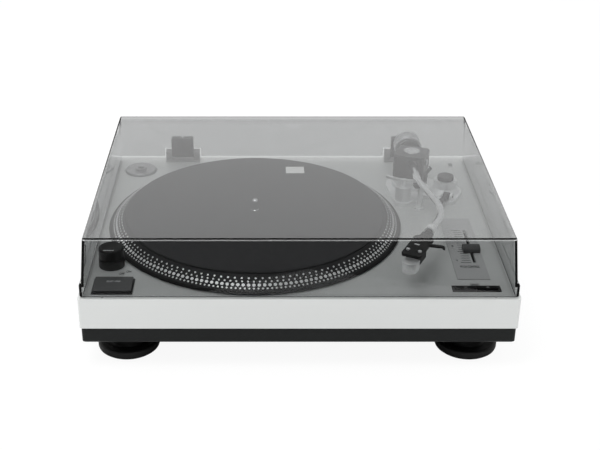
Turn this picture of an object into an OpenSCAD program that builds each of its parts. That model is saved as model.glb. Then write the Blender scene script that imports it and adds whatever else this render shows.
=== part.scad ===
// Belt drive record turntable with an S-shaped tonearm under a smoked dust cover.
// Millimetres, Z up. The origin is on the floor under the middle of the plinth,
// and the front of the plinth faces -Y.

/* [Plinth] */
// Width of the cabinet, left to right
plinth_w = 450; // [440:1:490]
// Depth of the cabinet, front to back
plinth_d = 360; // [355:1:400]
// Height of the silver cabinet
cabinet_h = 34.5; // [33:0.5:45]
// Thickness of the cabinet's walls and deck
cabinet_t = 3; // [2.5:0.5:4]
// Radius of the cabinet's upright corners
corner_r = 3; // [2:0.5:6]
// Height of the black base pan
base_h = 19; // [16:0.5:30]
// Inset of the base pan behind the cabinet's sides
base_inset = 1.5; // [1:0.5:2.5]
// Thickness of the base pan's floor and walls
base_t = 4; // [3.5:0.5:6]
// Chamfer along the pan's bottom edges
base_chamfer = 3; // [1:0.5:3.5]

/* [Feet] */
// Height of a foot under the base pan
foot_h = 30; // [24:1:40]
// Radius of the foot's disc
foot_r = 33; // [28:0.5:38]
// Height of the foot's disc
foot_disc_h = 11; // [8:0.5:16]
// Radius of the neck between disc and pan
foot_neck_r = 19; // [14:0.5:22]
// Distance of a foot's centre from the cabinet's side
foot_from_side = 44; // [42:1:60]
// Distance of a foot's centre from the cabinet's front or rear
foot_from_front = 46; // [42:1:60]

/* [Platter] */
// Outer radius of the platter's lip
platter_r = 166; // [164.5:0.5:168]
// Radius where the dotted slope meets the lip
slope_low_r = 163.5; // [158:0.5:164]
// Radius where the dotted slope meets the flat top
slope_top_r = 148; // [144:0.5:152]
// Height of the platter's flat top over the deck
platter_top_h = 15; // [14:0.5:17]
// Height of the foot of the dotted slope over the deck
slope_low_h = 3.3; // [3:0.1:5]
// Air under the platter
platter_gap = 1.2; // [1:0.1:1.5]
// Height of the lip's outer edge
lip_edge_h = 1.3; // [0.8:0.1:1.6]
// Thickness of the platter's disc and rim
platter_t = 3; // [2.5:0.25:4]
// Distance of the spindle from the cabinet's left side
spindle_from_left = 179; // [178:0.5:182]
// Distance of the spindle from the cabinet's front
spindle_from_front = 173; // [172.5:0.5:176]
// Radius of the holes that give access to the belt
belt_hole_r = 15; // [10:0.5:18]
// Radius of the felt slipmat
mat_r = 146.5; // [140:0.5:150]
// Thickness of the slipmat
mat_t = 2.2; // [1.5:0.1:3]

/* [Spindle and drive] */
// Radius of the record spindle
spindle_r = 3.6; // [3.5:0.05:3.65]
// Height of the spindle over the slipmat
spindle_top_h = 12.5; // [10:0.5:15]
// Radius of the shaft that runs in the bearing
shaft_r = 4; // [3.8:0.1:5]
// Depth of the bearing below the deck
bearing_depth = 24; // [20:1:28]
// Outer radius of the bearing tube
bearing_r = 9; // [8:0.5:11]
// Radius of the bearing's flange
bearing_flange_r = 22; // [18:1:26]
// Radius of the thrust ball
ball_r = 3; // [2:0.25:3.5]
// Radius of the ring that the belt drives
drive_ring_r = 95; // [80:0.5:98]
// Radius of the motor pulley
pulley_r = 5.5; // [4:0.25:8]
// Distance from spindle to motor shaft
motor_reach = 118; // [116:1:122]
// Direction of the motor from the spindle
motor_angle = 135; // [120:1:150]
// Radius of the motor's can
motor_r = 19; // [15:0.5:22]
// Length of the motor's can
motor_len = 22; // [16:0.5:26]
// Width of the rubber belt
belt_w = 5; // [3:0.5:6]
// Thickness of the rubber belt
belt_t = 0.9; // [0.6:0.1:1.5]

/* [Dust cover] */
// Height of the cover's top over the deck
cover_h = 58.5; // [58:0.5:80]
// Wall of the cover
cover_t = 3; // [2.5:0.25:4]
// Inset of the cover's side at the deck
cover_side_low = 3; // [1.5:0.1:4]
// Inset of the cover's side at the top
cover_side_top = 6.25; // [5:0.25:10]
// Inset of the cover's front at the deck
cover_front_low = 2.75; // [2:0.25:3]
// Inset of the cover's front at the top
cover_front_top = 17.6; // [10:0.2:17.6]
// Inset of the cover's rear face
cover_rear = 4.5; // [4:0.1:5]
// Height of the band round the cover's rim
band_h = 12; // [6:0.5:16]
// How far the band stands out
band_out = 0.9; // [0.4:0.1:1.2]
// Air between the rim and the deck
rim_gap = 1.2; // [0.8:0.1:2]
// Air between the rear rim and the deck
rear_gap = 4.6; // [2:0.1:5]
// Distance of each hinge from the middle
hinge_x = 140; // [120:1:160]
// Height of the hinge axis over the deck
hinge_h = 9.5; // [9:0.25:12]
// Radius of the hinge knuckle
knuckle_r = 5.5; // [4:0.25:6]
// Radius of the hinge pin
hinge_pin_r = 2; // [1.5:0.1:2.5]
// Width of a hinge block
hinge_block_w = 27.7; // [20:0.1:34]
// Height of a hinge block's top over the deck
hinge_block_h = 33; // [26:0.5:40]
// Thickness of a bracket's ear
ear_t = 7.25; // [3:0.25:9]

/* [Tonearm] */
// Distance of the arm pivot to the right of the spindle
pivot_dx = 188; // [187:0.5:192]
// Distance of the arm pivot behind the spindle
pivot_dy = 95; // [92:0.5:96]
// Height of the tube's axis over the deck
arm_h = 37; // [36.5:0.25:38]
// Outer radius of the arm tube
tube_r = 4; // [3.6:0.05:5]
// Wall of the arm tube
tube_wall = 1; // [0.8:0.1:1.5]
// Length of the tube's straight root in front of the pivot
root_len = 46; // [26:1:48]
// Angle of the tube's long straight, outwards
long_angle = 12.5; // [9:0.5:14]
// Angle of the headshell, inwards
head_angle = 26; // [24:0.5:28]
// Radius of the first bend
bend_1_r = 60; // [50:1:80]
// Radius of the second bend
bend_2_r = 75; // [35:1:85]
// Distance of the tube's end to the left of the pivot
head_dx = 2; // [0:0.5:3]
// Distance of the tube's end in front of the pivot
head_dy = 188; // [185:0.5:190]
// Radius of the shaft behind the pivot
tail_r = 4; // [3:0.1:4.5]
// Length of the shaft behind the pivot
tail_len = 58; // [58:1:64]

/* [Gimbal and arm base] */
// Angle of the gimbal block, turned towards the headshell's own line
yoke_angle = 22; // [20:1:24]
// Width of the gimbal block
yoke_w = 37.5; // [36:0.5:46]
// Depth of the gimbal block
yoke_d = 34; // [33:0.5:36]
// Height of the gimbal block's top over the deck
yoke_top_h = 48; // [47:0.5:49.5]
// Radius of the block's upright corners
yoke_corner_r = 5; // [2:0.5:7]
// Radius of the gimbal's side screws
gimbal_pin_r = 2; // [1.5:0.1:2.5]
// Radius of the silver cap on the block
cap_r = 9.5; // [7:0.5:12]
// Radius of the arm's column
column_r = 19.5; // [18:0.5:22]
// Height of the arm's column over the deck
column_h = 18; // [17:0.5:19]
// Radius of the upright pivot shaft
pivot_shaft_r = 7; // [5:0.25:8]
// Radius of the base plate round the column
plate_r = 29; // [26:0.5:32]
// Thickness of the base plate
plate_t = 4; // [3:0.25:5]
// Distance of the anti-skate dial to the right of the pivot
dial_dx = 40; // [39:0.5:44]
// Distance of the anti-skate dial in front of the pivot
dial_dy = 17; // [15:0.5:19]
// Radius of the anti-skate dial
dial_r = 9.7; // [9:0.1:12]
// Height of the dial's top over the deck
dial_top_h = 24; // [20:0.5:26]
// Distance of the cue lift to the left of the pivot
lift_dx = 13; // [10:0.5:16]
// Distance of the cue lift in front of the pivot
lift_dy = 42; // [40:0.5:44]
// Radius of the cue lift's guide
lift_guide_r = 9.5; // [8:0.25:11]
// Distance of the cue lever to the right of the pivot
lever_dx = 40; // [39:0.5:44]
// Distance of the cue lever in front of the pivot
lever_dy = 40; // [38:0.5:42]
// Turn of the cue lever towards the head
lever_turn = 35; // [0:1:45]
// Travel of the cue lift
lift_travel = 2.2; // [1.5:0.1:2.4]

/* [Head] */
// Length of the headshell from the tube's end
head_len = 62; // [58:0.5:62]
// Width of the headshell's plate
head_w = 21; // [17:0.25:22]
// Thickness of the headshell's plate
head_t = 3; // [2.5:0.1:4]
// Length of the locking collar
collar_len = 10; // [8:0.5:12]
// Radius of the locking collar
collar_r = 5.8; // [5.6:0.1:8]
// Length of the cartridge
cartridge_len = 20; // [17:0.5:24]
// Width of the cartridge
cartridge_w = 15.6; // [14:0.2:17]
// Height of the cartridge
cartridge_h = 12; // [10:0.25:12.25]
// Depth of the stylus guard's floor below the tube's axis
guard_drop = 18; // [17.6:0.1:18.4]
// Thickness of the guard's clear wall
guard_t = 0.8; // [0.6:0.1:1]
// Length of the counterweight
weight_len = 22; // [18:0.5:26]
// Radius of the counterweight
weight_r = 16.5; // [14:0.25:17]
// Length of the tracking force dial
force_dial_len = 5; // [4:0.25:6]
// Radius of the tracking force dial
force_dial_r = 14.5; // [11:0.25:15]

/* [Controls] */
// Width of the start button's frame
start_w = 42.5; // [38:0.5:46]
// Depth of the start button's frame
start_d = 32; // [28:0.5:34]
// Distance of the start button's centre from the left side
start_from_left = 33.8; // [31:0.2:36]
// Distance of the start button's centre from the front
start_from_front = 25.5; // [24:0.5:28]
// Width of the speed buttons' frame
speed_w = 50; // [44:0.5:54]
// Depth of the speed buttons' frame
speed_d = 11.8; // [10:0.2:14]
// Distance of the speed buttons' centre from the right side
speed_from_right = 42.5; // [40:0.5:46]
// Distance of the speed buttons' centre from the front
speed_from_front = 20.8; // [19:0.2:22]
// Travel of the buttons
button_travel = 1.5; // [1:0.1:1.8]
// Distance of the power knob's axis from the left side
knob_from_left = 27; // [25:0.5:30]
// Distance of the power knob's axis from the front
knob_from_front = 72; // [70:1:80]
// Radius of the power knob
knob_r = 13.4; // [10:0.2:14]
// Height of the power knob's top over the deck
knob_top_h = 22; // [18:0.5:26]
// Height of the strobe housing under the knob
strobe_h = 9.5; // [8:0.5:12]
// Width of the pitch panel
pitch_w = 34.5; // [30:0.5:38]
// Length of the pitch panel
pitch_len = 141; // [136:1:150]
// Thickness of the pitch panel
pitch_t = 0.8; // [0.6:0.1:1.5]
// Distance of the pitch panel's middle from the right side
pitch_from_right = 41.7; // [40:0.1:44]
// Distance of the pitch panel's front edge from the front
pitch_from_front = 40.5; // [39:0.5:46]
// Travel of the pitch slider
pitch_travel = 60; // [40:1:66]
// How far the pitch slider stands behind its front stop
pitch_set = 19; // [4:1:40]
// Width of the pitch slider's cap
slider_w = 18.5; // [14:0.5:21]
// Depth of the pitch slider's cap
slider_d = 12.5; // [10:0.5:21]
// Height of the slider cap's top over the deck
slider_top_h = 8; // [7:0.5:12]
// Radius of the single adapter
adapter_r = 19.05; // [18.5:0.05:20]
// Thickness of the single adapter
adapter_t = 6.5; // [4:0.5:9]
// Depth of the well that the adapter lies in
well_depth = 2; // [1:0.25:2.2]
// Distance of the adapter from the left side
adapter_from_left = 33.7; // [30:0.1:36]
// Distance of the adapter from the rear
adapter_from_rear = 40.6; // [38:0.2:46]

/* [Rear panel] */
// Distance of the socket pocket to the left of the middle
pocket_x = 70; // [60:1:90]
// Width of the socket pocket
pocket_w = 64; // [58:1:80]
// Height of the socket pocket
pocket_h = 20; // [17:0.5:22]
// Depth of the socket pocket
pocket_depth = 16; // [15:0.5:20]
// Radius of a phono socket's barrel
phono_r = 4.15; // [4.1:0.05:4.2]
// Length of a phono socket's barrel
phono_len = 8; // [7:0.5:9]
// Distance between the phono sockets
phono_pitch = 18; // [16:0.5:20]
// Distance of the mains gland from the right side
gland_x = 75; // [60:1:90]

/* [Clearances] */
// Gap between a moving piece and its neighbour
gap = 0.35; // [0.3:0.05:0.4]
// Radial play of a shaft in its bearing
running = 0.05; // [0.02:0.01:0.08]
// Radial play of a fixed piece in its hole
fixed_play = 0.15; // [0.1:0.05:0.2]

/* [Hidden] */
$fn = 64;
// Cutting tools run this far past the face they cut
past = 1;
// How far a belt's straights cut into its circles
graze = 0.01;

// Levels
cabinet_z = foot_h + base_h;
deck_z = cabinet_z + cabinet_h;
left = -plinth_w / 2;
right = plinth_w / 2;
front = -plinth_d / 2;
rear = plinth_d / 2;

// Places on the deck
spindle_at = [left + spindle_from_left, front + spindle_from_front];
motor_at = spindle_at + motor_reach * [cos(motor_angle), sin(motor_angle)];
pivot_at = spindle_at + [pivot_dx, pivot_dy];
start_at = [left + start_from_left, front + start_from_front];
speed_at = [right - speed_from_right, front + speed_from_front];
knob_at = [left + knob_from_left, front + knob_from_front];
pitch_at = [right - pitch_from_right, front + pitch_from_front + pitch_len / 2];
adapter_at = [left + adapter_from_left, rear - adapter_from_rear];
feet_at = [for (x = [left + foot_from_side, right - foot_from_side],
    y = [front + foot_from_front, rear - foot_from_front]) [x, y]];

// Fasteners
screw_r = 1.9;
screw_head_r = 3.6;
screw_head_h = 2.4;
boss_r = 5;
boss_from_side = 9;
bosses_at = [for (x = [left + boss_from_side, right - boss_from_side],
    y = [front + boss_from_side, rear - boss_from_side]) [x, y]];
boss_bite = 12;
foot_boss_h = 8;
foot_counterbore = foot_disc_h + 4;

// Drive levels over the deck
mat_top_h = platter_top_h + mat_t;
disc_low_h = platter_top_h - platter_t;
shoulder_r = 8;
shoulder_h = 3.5;
bearing_top_h = disc_low_h - shoulder_h - 0.5;
bearing_floor = 3;
bearing_flange_t = 2.5;
ball_h = -bearing_depth + bearing_floor + ball_r;
shaft_low_h = ball_h + ball_r + running;
belt_h = platter_gap + 1.5;
pulley_low_h = 1;
pulley_top_h = disc_low_h - 2;
pulley_flange = 1.2;
grommet_t = 3;
grommet_r = 4;
motor_plate_t = 1.5;
motor_plate_r = motor_r + 8;
motor_screw_r = 1.5;
motor_screw_ring = motor_r + 4;
motor_shaft_r = 1;
motor_shaft_bite = 6;
motor_plate_h = -cabinet_t - grommet_t;

// Cover
cover_top_t = cover_t;
hinge_y = rear - cover_rear - 2.5;
bracket_edge = 0.2;
bracket_w = hinge_block_w + 2 * (gap + ear_t + bracket_edge);
bracket_d = 14;
bracket_back = 2;
bracket_t = 2.2;
notch_play = 1;
notch_h = hinge_h + knuckle_r + 1.2;
hinge_block_d = 9;
bumper_r = 1.6;
bumper_x = 200;
bumper_gap = 0.2;

// Tonearm path in plan: root, first bend, long straight, second bend, neck
function along(angle) = [sin(angle), -cos(angle)];
function turn(a, b) = a[0] * b[1] - a[1] * b[0];
root_end = pivot_at - [0, root_len];
bend_1_end = root_end + bend_1_r * [1 - cos(long_angle), -sin(long_angle)];
bend_2_step = bend_2_r * [cos(head_angle) - cos(long_angle), -sin(long_angle) - sin(head_angle)];
tube_end = pivot_at - [head_dx, head_dy];
to_cover = tube_end - bend_1_end - bend_2_step;
spread = turn(along(long_angle), along(-head_angle));
long_len = turn(to_cover, along(-head_angle)) / spread;
neck_len = turn(along(long_angle), to_cover) / spread;
bend_2_start = bend_1_end + long_len * along(long_angle);
bend_2_end = bend_2_start + bend_2_step;
arm_z = deck_z + arm_h;
bend_bite = 0.1;
bend_step = 0.02;

// Gimbal
yoke_low_h = column_h + 0.5;
yoke_floor_h = 24.5;
cover_plate_t = 3;
cheek_t = 7.5;
yoke_wall = 4;
cap_t = 1.2;
cavity_w = yoke_w - 2 * cheek_t;
cavity_d = yoke_d - 2 * yoke_wall;
hub_w = cavity_w - 4;
hub_d = cavity_d - 8;
hub_h = 14;
gimbal_bite = 4;
pivot_bore_floor = 1.5;

// Arm base controls
dial_at = [dial_dx, -dial_dy];
lift_at = [-lift_dx, -lift_dy];
lever_at = [lever_dx, -lever_dy];
column_ring_r = column_r + 2.5;
column_ring_h = 9;
dial_body_r = dial_r + 3.8;
dial_body_h = dial_top_h - 5.5;
dial_foot_r = dial_body_r + 4.5;
dial_shaft_r = 3;
dial_plate_r = dial_foot_r + 2;
lift_rod_r = 3;
lift_guide_h = 22;
lift_plate_r = lift_guide_r + 2;
lift_rest_h = arm_h - tube_r - lift_travel - 0.5;
lift_bar_t = 3;
lift_bar_w = 3;
lift_ring_r = norm(lift_at);
lift_arc = 52;
lift_arc_start = -137;
lever_h = 8;
lever_hub_r = 4;
lever_hub_w = 8;
lever_pin_r = 1.5;
lever_len = 20;
lever_ear_t = 2.6;
lever_ear_r = 4.6;
lever_plate_r = 10;

// Arm rest
rest_along = 1;
rest_at = bend_1_end + rest_along * along(long_angle);
rest_d = 8;
rest_drop = 0.4;
rest_pad_t = 4;
rest_wall_x = tube_r + 1.5;
rest_wall_t = 3;
rest_post_x = 3;
rest_post_r = 3;
rest_foot_r = 5;
rest_foot_h = 2;
latch_rise = 6.2;
latch_x = rest_wall_x + rest_wall_t / 2;
latch_hub_r = 2.2;
latch_pin_r = 1;
latch_len = 11.4;
latch_open = 50;
latch_ear_t = 1.6;

// Head
plug_r = tube_r - 0.25;
plug_len = 7;
collar_back = 7;
head_neck_w = 12;
head_neck_len = 14;
head_slot_x = 6.35;
head_slot_w = 2.6;
head_slot_len = 9;
head_low = -2;
cartridge_back = 9;
cartridge_front = head_len - cartridge_back;
stylus_w = 7;
stylus_t = 2.2;
stylus_len = 13;
guard_r = cartridge_w / 2 + 0.1;
guard_h = 11;
finger_len = 15;
finger_t = 2.2;
finger_w = 3.6;
finger_curl_r = 2.6;
finger_sweep = 12;
finger_from_front = 30;

// Counterweight
force_dial_from_pivot = yoke_d / 2 + 7;
weight_from_pivot = force_dial_from_pivot + force_dial_len + gap;

// Controls
lip_w = 1.6;
tray_wall = 1.2;
tray_floor_t = 1.4;
tray_depth = 4.2;
tray_lip_h = 1.1;
cap_low_h = -tray_depth + tray_floor_t + button_travel + 0.3;
stem_w = 8;
stem_d = 4;
stem_low_h = -6.2;
board_h = -14.2;
board_t = 1.6;
board_d = 26;
board_post_r = 3.5;
post_from_left = 75;
post_from_right = 95;
switch_w = 8;
switch_h = 4.2;
plunger_r = 1.8;
start_top_h = 4.2;
start_plate_in = 1.5;
start_plate_t = 1.4;
speed_top_h = 2.4;
knob_shaft_r = 3;
switch_body_w = 18;
switch_body_h = 10;
strobe_r = knob_r + 0.4;
lens_w = 7;
lens_h = 5;
lens_t = 2;
slider_stem_w = 2.4;
slider_stem_len = 12;
slot_w = 3.4;
slot_len = pitch_travel + slider_stem_len + 3;
slot_from_right = 10.5;
slot_x = pitch_at[0] + pitch_w / 2 - slot_from_right;
slot_front = front + pitch_from_front + 36;
slider_y = slot_front + 1.5 + slider_stem_len / 2 + pitch_set;
fader_h = 9;
fader_w = 14;
well_r = adapter_r + 1.4;

// Transformer, beside the rear right foot's boss
core_foot_w = 56;
core_foot_d = 46;
core_foot_t = 6;
core_w = 44;
core_d = 40;
core_h = 30;
coil_w = 60;
coil_d = 30;
coil_h = 20;
core_gap = 3;
core_at = [right - foot_from_side - boss_r - core_gap - core_foot_w / 2, rear - foot_from_front];

// Rear panel
pocket_z = cabinet_z + cabinet_h / 2 - 2;
socket_plate_t = 1.6;
phono_flange_r = 6;
phono_flange_t = 1.5;
post_r = 3;
gland_r = 8;
gland_bore_r = 3.2;
gland_body_r = 5.5;
gland_recess = 1.5;
gland_len = 12;
gland_z = cabinet_z + 14;

// Building blocks
module rounded_plate(w, d, h, r) {
    linear_extrude(height = h) {
        square([w - 2 * r, d], center = true);
        square([w, d - 2 * r], center = true);
        for (x = [-1, 1], y = [-1, 1])
            translate([x * (w / 2 - r), y * (d / 2 - r)]) circle(r);
    }
}

// A belt's outline: two circles and the straights that touch both
module belt_outline(a, ra, b, rb) {
    span = b - a;
    base = atan2(span[1], span[0]);
    lean = acos((ra - rb) / norm(span));
    up = [cos(base + lean), sin(base + lean)];
    down = [cos(base - lean), sin(base - lean)];
    translate(a) circle(ra);
    translate(b) circle(rb);
    // The straights cut a hair into the circles, so that their corners don't just graze them
    sa = ra - graze;
    sb = rb - graze;
    polygon([a + sa * up, a + sa * down, b + sb * down, b + sb * up]);
}

module at(p, h = 0) {
    translate([p[0], p[1], deck_z + h]) children();
}

module box(w, d, h) {
    translate([-w / 2, -d / 2, 0]) cube([w, d, h]);
}

// A screw that points up from the underside of its head
module screw(shank_r, head_r, head_h, len) {
    cylinder(r = head_r, h = head_h);
    cylinder(r = shank_r, h = head_h + len);
}

// A rod that lies along -Y from the origin
module rod(r, len) {
    rotate([90, 0, 0]) cylinder(r = r, h = len);
}

// A rod along X, centred
module cross_rod(r, len) {
    rotate([0, 90, 0]) cylinder(r = r, h = len, center = true);
}

// Plinth
module base_prism() {
    w = plinth_w - 2 * base_inset;
    d = plinth_d - 2 * base_inset;
    intersection() {
        translate([0, 0, foot_h]) rounded_plate(w, d, base_h, corner_r);
        translate([0, d / 2 + past, foot_h]) rotate([90, 0, 0])
            linear_extrude(height = d + 2 * past) chamfered_side(w);
        translate([-w / 2 - past, 0, foot_h]) rotate([90, 0, 90])
            linear_extrude(height = w + 2 * past) chamfered_side(d);
    }
}

module chamfered_side(w) {
    polygon([[-w / 2, base_chamfer], [-w / 2 + base_chamfer, 0], [w / 2 - base_chamfer, 0],
        [w / 2, base_chamfer], [w / 2, base_h], [-w / 2, base_h]]);
}

module base_pan() color([0.1, 0.1, 0.1]) {
    inner_w = plinth_w - 2 * (base_inset + base_t);
    inner_d = plinth_d - 2 * (base_inset + base_t);
    difference() {
        union() {
            difference() {
                base_prism();
                translate([0, 0, foot_h + base_t]) rounded_plate(inner_w, inner_d, base_h, corner_r);
            }
            for (p = feet_at)
                translate([p[0], p[1], foot_h + base_t]) cylinder(r = boss_r, h = foot_boss_h - base_t);
            for (p = bosses_at)
                translate([p[0], p[1], foot_h + base_t]) cylinder(r = boss_r, h = base_h - base_t);
        }
        for (p = feet_at)
            translate([p[0], p[1], foot_h - past])
                cylinder(r = screw_r + fixed_play, h = foot_boss_h + 2 * past);
        for (p = bosses_at)
            translate([p[0], p[1], foot_h - past]) {
                cylinder(r = screw_r + fixed_play, h = base_h + 2 * past);
                cylinder(r = screw_head_r + fixed_play, h = screw_head_h + past);
            }
    }
}

module cabinet_shell() {
    difference() {
        translate([0, 0, cabinet_z]) rounded_plate(plinth_w, plinth_d, cabinet_h, corner_r);
        translate([0, 0, cabinet_z - past])
            rounded_plate(plinth_w - 2 * cabinet_t, plinth_d - 2 * cabinet_t,
                cabinet_h - cabinet_t + past, 1);
    }
}

module cabinet() color([0.78, 0.78, 0.79]) {
    difference() {
        union() {
            cabinet_shell();
            for (p = bosses_at)
                translate([p[0], p[1], cabinet_z]) cylinder(r = boss_r, h = cabinet_h - cabinet_t);
            for (p = board_posts_at())
                at(p, board_h) cylinder(r = board_post_r, h = -board_h - cabinet_t);
            translate([-pocket_x, rear - cabinet_t - (pocket_depth + cabinet_t) / 2 + cabinet_t / 2,
                pocket_z - pocket_h / 2 - cabinet_t])
                box(pocket_w + 2 * cabinet_t, pocket_depth, pocket_h + 2 * cabinet_t);
        }
        for (p = bosses_at)
            translate([p[0], p[1], cabinet_z - past])
                cylinder(r = screw_r + fixed_play, h = boss_bite + past);
        at(spindle_at, -cabinet_t - past) cylinder(r = bearing_r + fixed_play, h = cabinet_t + 2 * past);
        at(motor_at, -cabinet_t - past) cylinder(r = pulley_r + 4, h = cabinet_t + 2 * past);
        for (p = motor_screws_at())
            at(p, -cabinet_t - past) cylinder(r = motor_screw_r + fixed_play, h = cabinet_t + 2 * past);
        at(knob_at, -cabinet_t - past) cylinder(r = knob_shaft_r + 1.5, h = cabinet_t + 2 * past);
        at(adapter_at, -well_depth) cylinder(r = well_r, h = well_depth + past);
        at(start_at, -cabinet_t - past) tray_body(start_w, start_d, fixed_play, cabinet_t + 2 * past);
        at(speed_at, -cabinet_t - past) tray_body(speed_w, speed_d, fixed_play, cabinet_t + 2 * past);
        at([slot_x, slot_front + slot_len / 2], -cabinet_t - past)
            box(slot_w, slot_len, cabinet_t + 2 * past);
        translate([-pocket_x, rear - pocket_depth / 2 + past / 2, pocket_z - pocket_h / 2])
            box(pocket_w, pocket_depth + past, pocket_h);
        translate([right - gland_x, rear + past, gland_z]) {
            rod(gland_r + fixed_play, gland_recess + past);
            rod(gland_body_r + fixed_play, cabinet_t + 2 * past);
        }
    }
}

module foot(p) color([0.07, 0.07, 0.07]) {
    translate([p[0], p[1], 0]) difference() {
        rotate_extrude() polygon([[0, 0], [foot_r - 3, 0], [foot_r, 3], [foot_r, foot_disc_h - 1],
            [foot_r - 1, foot_disc_h], [foot_r - 5, foot_disc_h], [foot_neck_r + 2, foot_disc_h - 3],
            [foot_neck_r, foot_disc_h], [foot_neck_r, foot_h], [0, foot_h]]);
        translate([0, 0, -past]) {
            cylinder(r = screw_head_r + 1, h = foot_counterbore + past);
            cylinder(r = screw_r + fixed_play, h = foot_h + 2 * past);
        }
    }
}

module foot_front_left() foot(feet_at[0]);
module foot_rear_left() foot(feet_at[1]);
module foot_front_right() foot(feet_at[2]);
module foot_rear_right() foot(feet_at[3]);

module case_screws() color([0.55, 0.55, 0.58]) {
    for (p = feet_at)
        translate([p[0], p[1], foot_counterbore - screw_head_h])
            screw(screw_r, screw_head_r, screw_head_h, foot_h - foot_counterbore + foot_boss_h);
    for (p = bosses_at)
        translate([p[0], p[1], foot_h])
            screw(screw_r, screw_head_r, screw_head_h, base_h - screw_head_h + boss_bite - 1);
}

// Drive
module bearing_housing() color([0.72, 0.65, 0.42]) {
    at(spindle_at) difference() {
        union() {
            cylinder(r = bearing_flange_r, h = bearing_flange_t);
            translate([0, 0, -bearing_depth]) cylinder(r = bearing_r, h = bearing_depth + bearing_top_h);
        }
        translate([0, 0, -bearing_depth + bearing_floor])
            cylinder(r = shaft_r + running, h = bearing_depth + bearing_top_h);
    }
}

module thrust_ball() color([0.85, 0.85, 0.87]) {
    at(spindle_at, ball_h) sphere(ball_r);
}

function motor_screws_at() = [for (a = [0, 120, 240]) motor_at + motor_screw_ring * [cos(a), sin(a)]];

module motor() color([0.62, 0.63, 0.66]) {
    at(motor_at, motor_plate_h - motor_plate_t) difference() {
        union() {
            cylinder(r = motor_plate_r, h = motor_plate_t);
            translate([0, 0, -motor_len]) cylinder(r = motor_r, h = motor_len);
        }
        translate([0, 0, -motor_shaft_bite - past])
            cylinder(r = motor_shaft_r + running, h = motor_shaft_bite + motor_plate_t + 2 * past);
        for (a = [0, 120, 240])
            rotate([0, 0, a]) translate([motor_screw_ring, 0, -past])
                cylinder(r = motor_screw_r + fixed_play, h = motor_plate_t + 2 * past);
    }
}

module motor_grommets() color([0.12, 0.12, 0.12]) {
    for (p = motor_screws_at()) at(p, motor_plate_h) difference() {
        cylinder(r = grommet_r, h = grommet_t);
        translate([0, 0, -past]) cylinder(r = motor_screw_r + fixed_play, h = grommet_t + 2 * past);
    }
}

module motor_screws() color([0.6, 0.6, 0.62]) {
    len = cabinet_t + grommet_t + motor_plate_t + 1;
    for (p = motor_screws_at()) at(p, 1.8) rotate([180, 0, 0]) screw(motor_screw_r, 2.8, 1.8, len);
}

module motor_pulley() color([0.8, 0.7, 0.4]) {
    shaft_low = motor_plate_h - motor_plate_t - motor_shaft_bite;
    at(motor_at) {
        rotate_extrude() polygon([[0, pulley_low_h], [pulley_r + pulley_flange, pulley_low_h],
            [pulley_r + pulley_flange, pulley_low_h + 1], [pulley_r, belt_h - 0.5],
            [pulley_r, belt_h + belt_w + 0.5], [pulley_r + pulley_flange, pulley_top_h - 1],
            [pulley_r + pulley_flange, pulley_top_h], [0, pulley_top_h]]);
        translate([0, 0, shaft_low]) cylinder(r = motor_shaft_r, h = pulley_low_h - shaft_low);
    }
}

module drive_belt() color([0.05, 0.05, 0.05]) {
    translate([0, 0, deck_z + belt_h]) linear_extrude(height = belt_w) difference() {
        belt_outline(spindle_at, drive_ring_r + gap + belt_t, motor_at, pulley_r + gap + belt_t);
        belt_outline(spindle_at, drive_ring_r + gap, motor_at, pulley_r + gap);
    }
}

module platter() color([0.2, 0.2, 0.2]) {
    at(spindle_at) difference() {
        union() {
            rotate_extrude($fn = 128) polygon([[shaft_r + running, disc_low_h],
                [shaft_r + running, platter_top_h], [slope_top_r, platter_top_h], [slope_low_r, slope_low_h],
                [platter_r, platter_gap + lip_edge_h], [platter_r, platter_gap],
                [slope_low_r - platter_t, platter_gap], [slope_top_r - platter_t, disc_low_h]]);
            translate([0, 0, platter_gap]) difference() {
                cylinder(r = drive_ring_r, h = disc_low_h - platter_gap + 1);
                translate([0, 0, -past])
                    cylinder(r = drive_ring_r - platter_t, h = disc_low_h - platter_gap + 1 + 2 * past);
            }
        }
        for (a = [motor_angle, motor_angle + 180])
            rotate([0, 0, a]) translate([motor_reach, 0, disc_low_h - past])
                cylinder(r = belt_hole_r, h = platter_t + 2 * past);
    }
}

module spindle() color([0.9, 0.9, 0.92]) {
    at(spindle_at) {
        translate([0, 0, shaft_low_h]) cylinder(r = shaft_r, h = mat_top_h - shaft_low_h);
        translate([0, 0, disc_low_h - shoulder_h]) cylinder(r = shoulder_r, h = shoulder_h);
        translate([0, 0, mat_top_h]) cylinder(r = spindle_r, h = spindle_top_h - spindle_r / 2);
        translate([0, 0, mat_top_h + spindle_top_h - spindle_r / 2])
            cylinder(r1 = spindle_r, r2 = spindle_r / 2, h = spindle_r / 2);
    }
}

module slipmat() color([0.16, 0.16, 0.16]) {
    at(spindle_at, platter_top_h) difference() {
        cylinder(r = mat_r, h = mat_t, $fn = 128);
        translate([0, 0, -past]) cylinder(r = shaft_r + fixed_play, h = mat_t + 2 * past);
    }
}

// Electrics
function board_posts_at() = [for (x = [left + post_from_left, 0, right - post_from_right])
    [x, front + speed_from_front]];

module control_board() color([0.1, 0.35, 0.18]) {
    w = plinth_w - 2 * (boss_from_side + boss_r + 6);
    at([0, front + speed_from_front + 2], board_h - board_t) box(w, board_d, board_t);
}

module tact_switch(p) {
    at(p, board_h) {
        box(switch_w, switch_w, switch_h);
        translate([0, 0, switch_h])
            cylinder(r = plunger_r, h = stem_low_h - button_travel - 0.2 - board_h - switch_h);
    }
}

module tact_switches() color([0.2, 0.2, 0.22]) {
    tact_switch([start_at[0], start_at[1] + start_stem_dy()]);
    for (s = [-1, 1]) tact_switch(speed_at + [s * bay_pitch(speed_w, 2) / 2, 0]);
}

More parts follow.
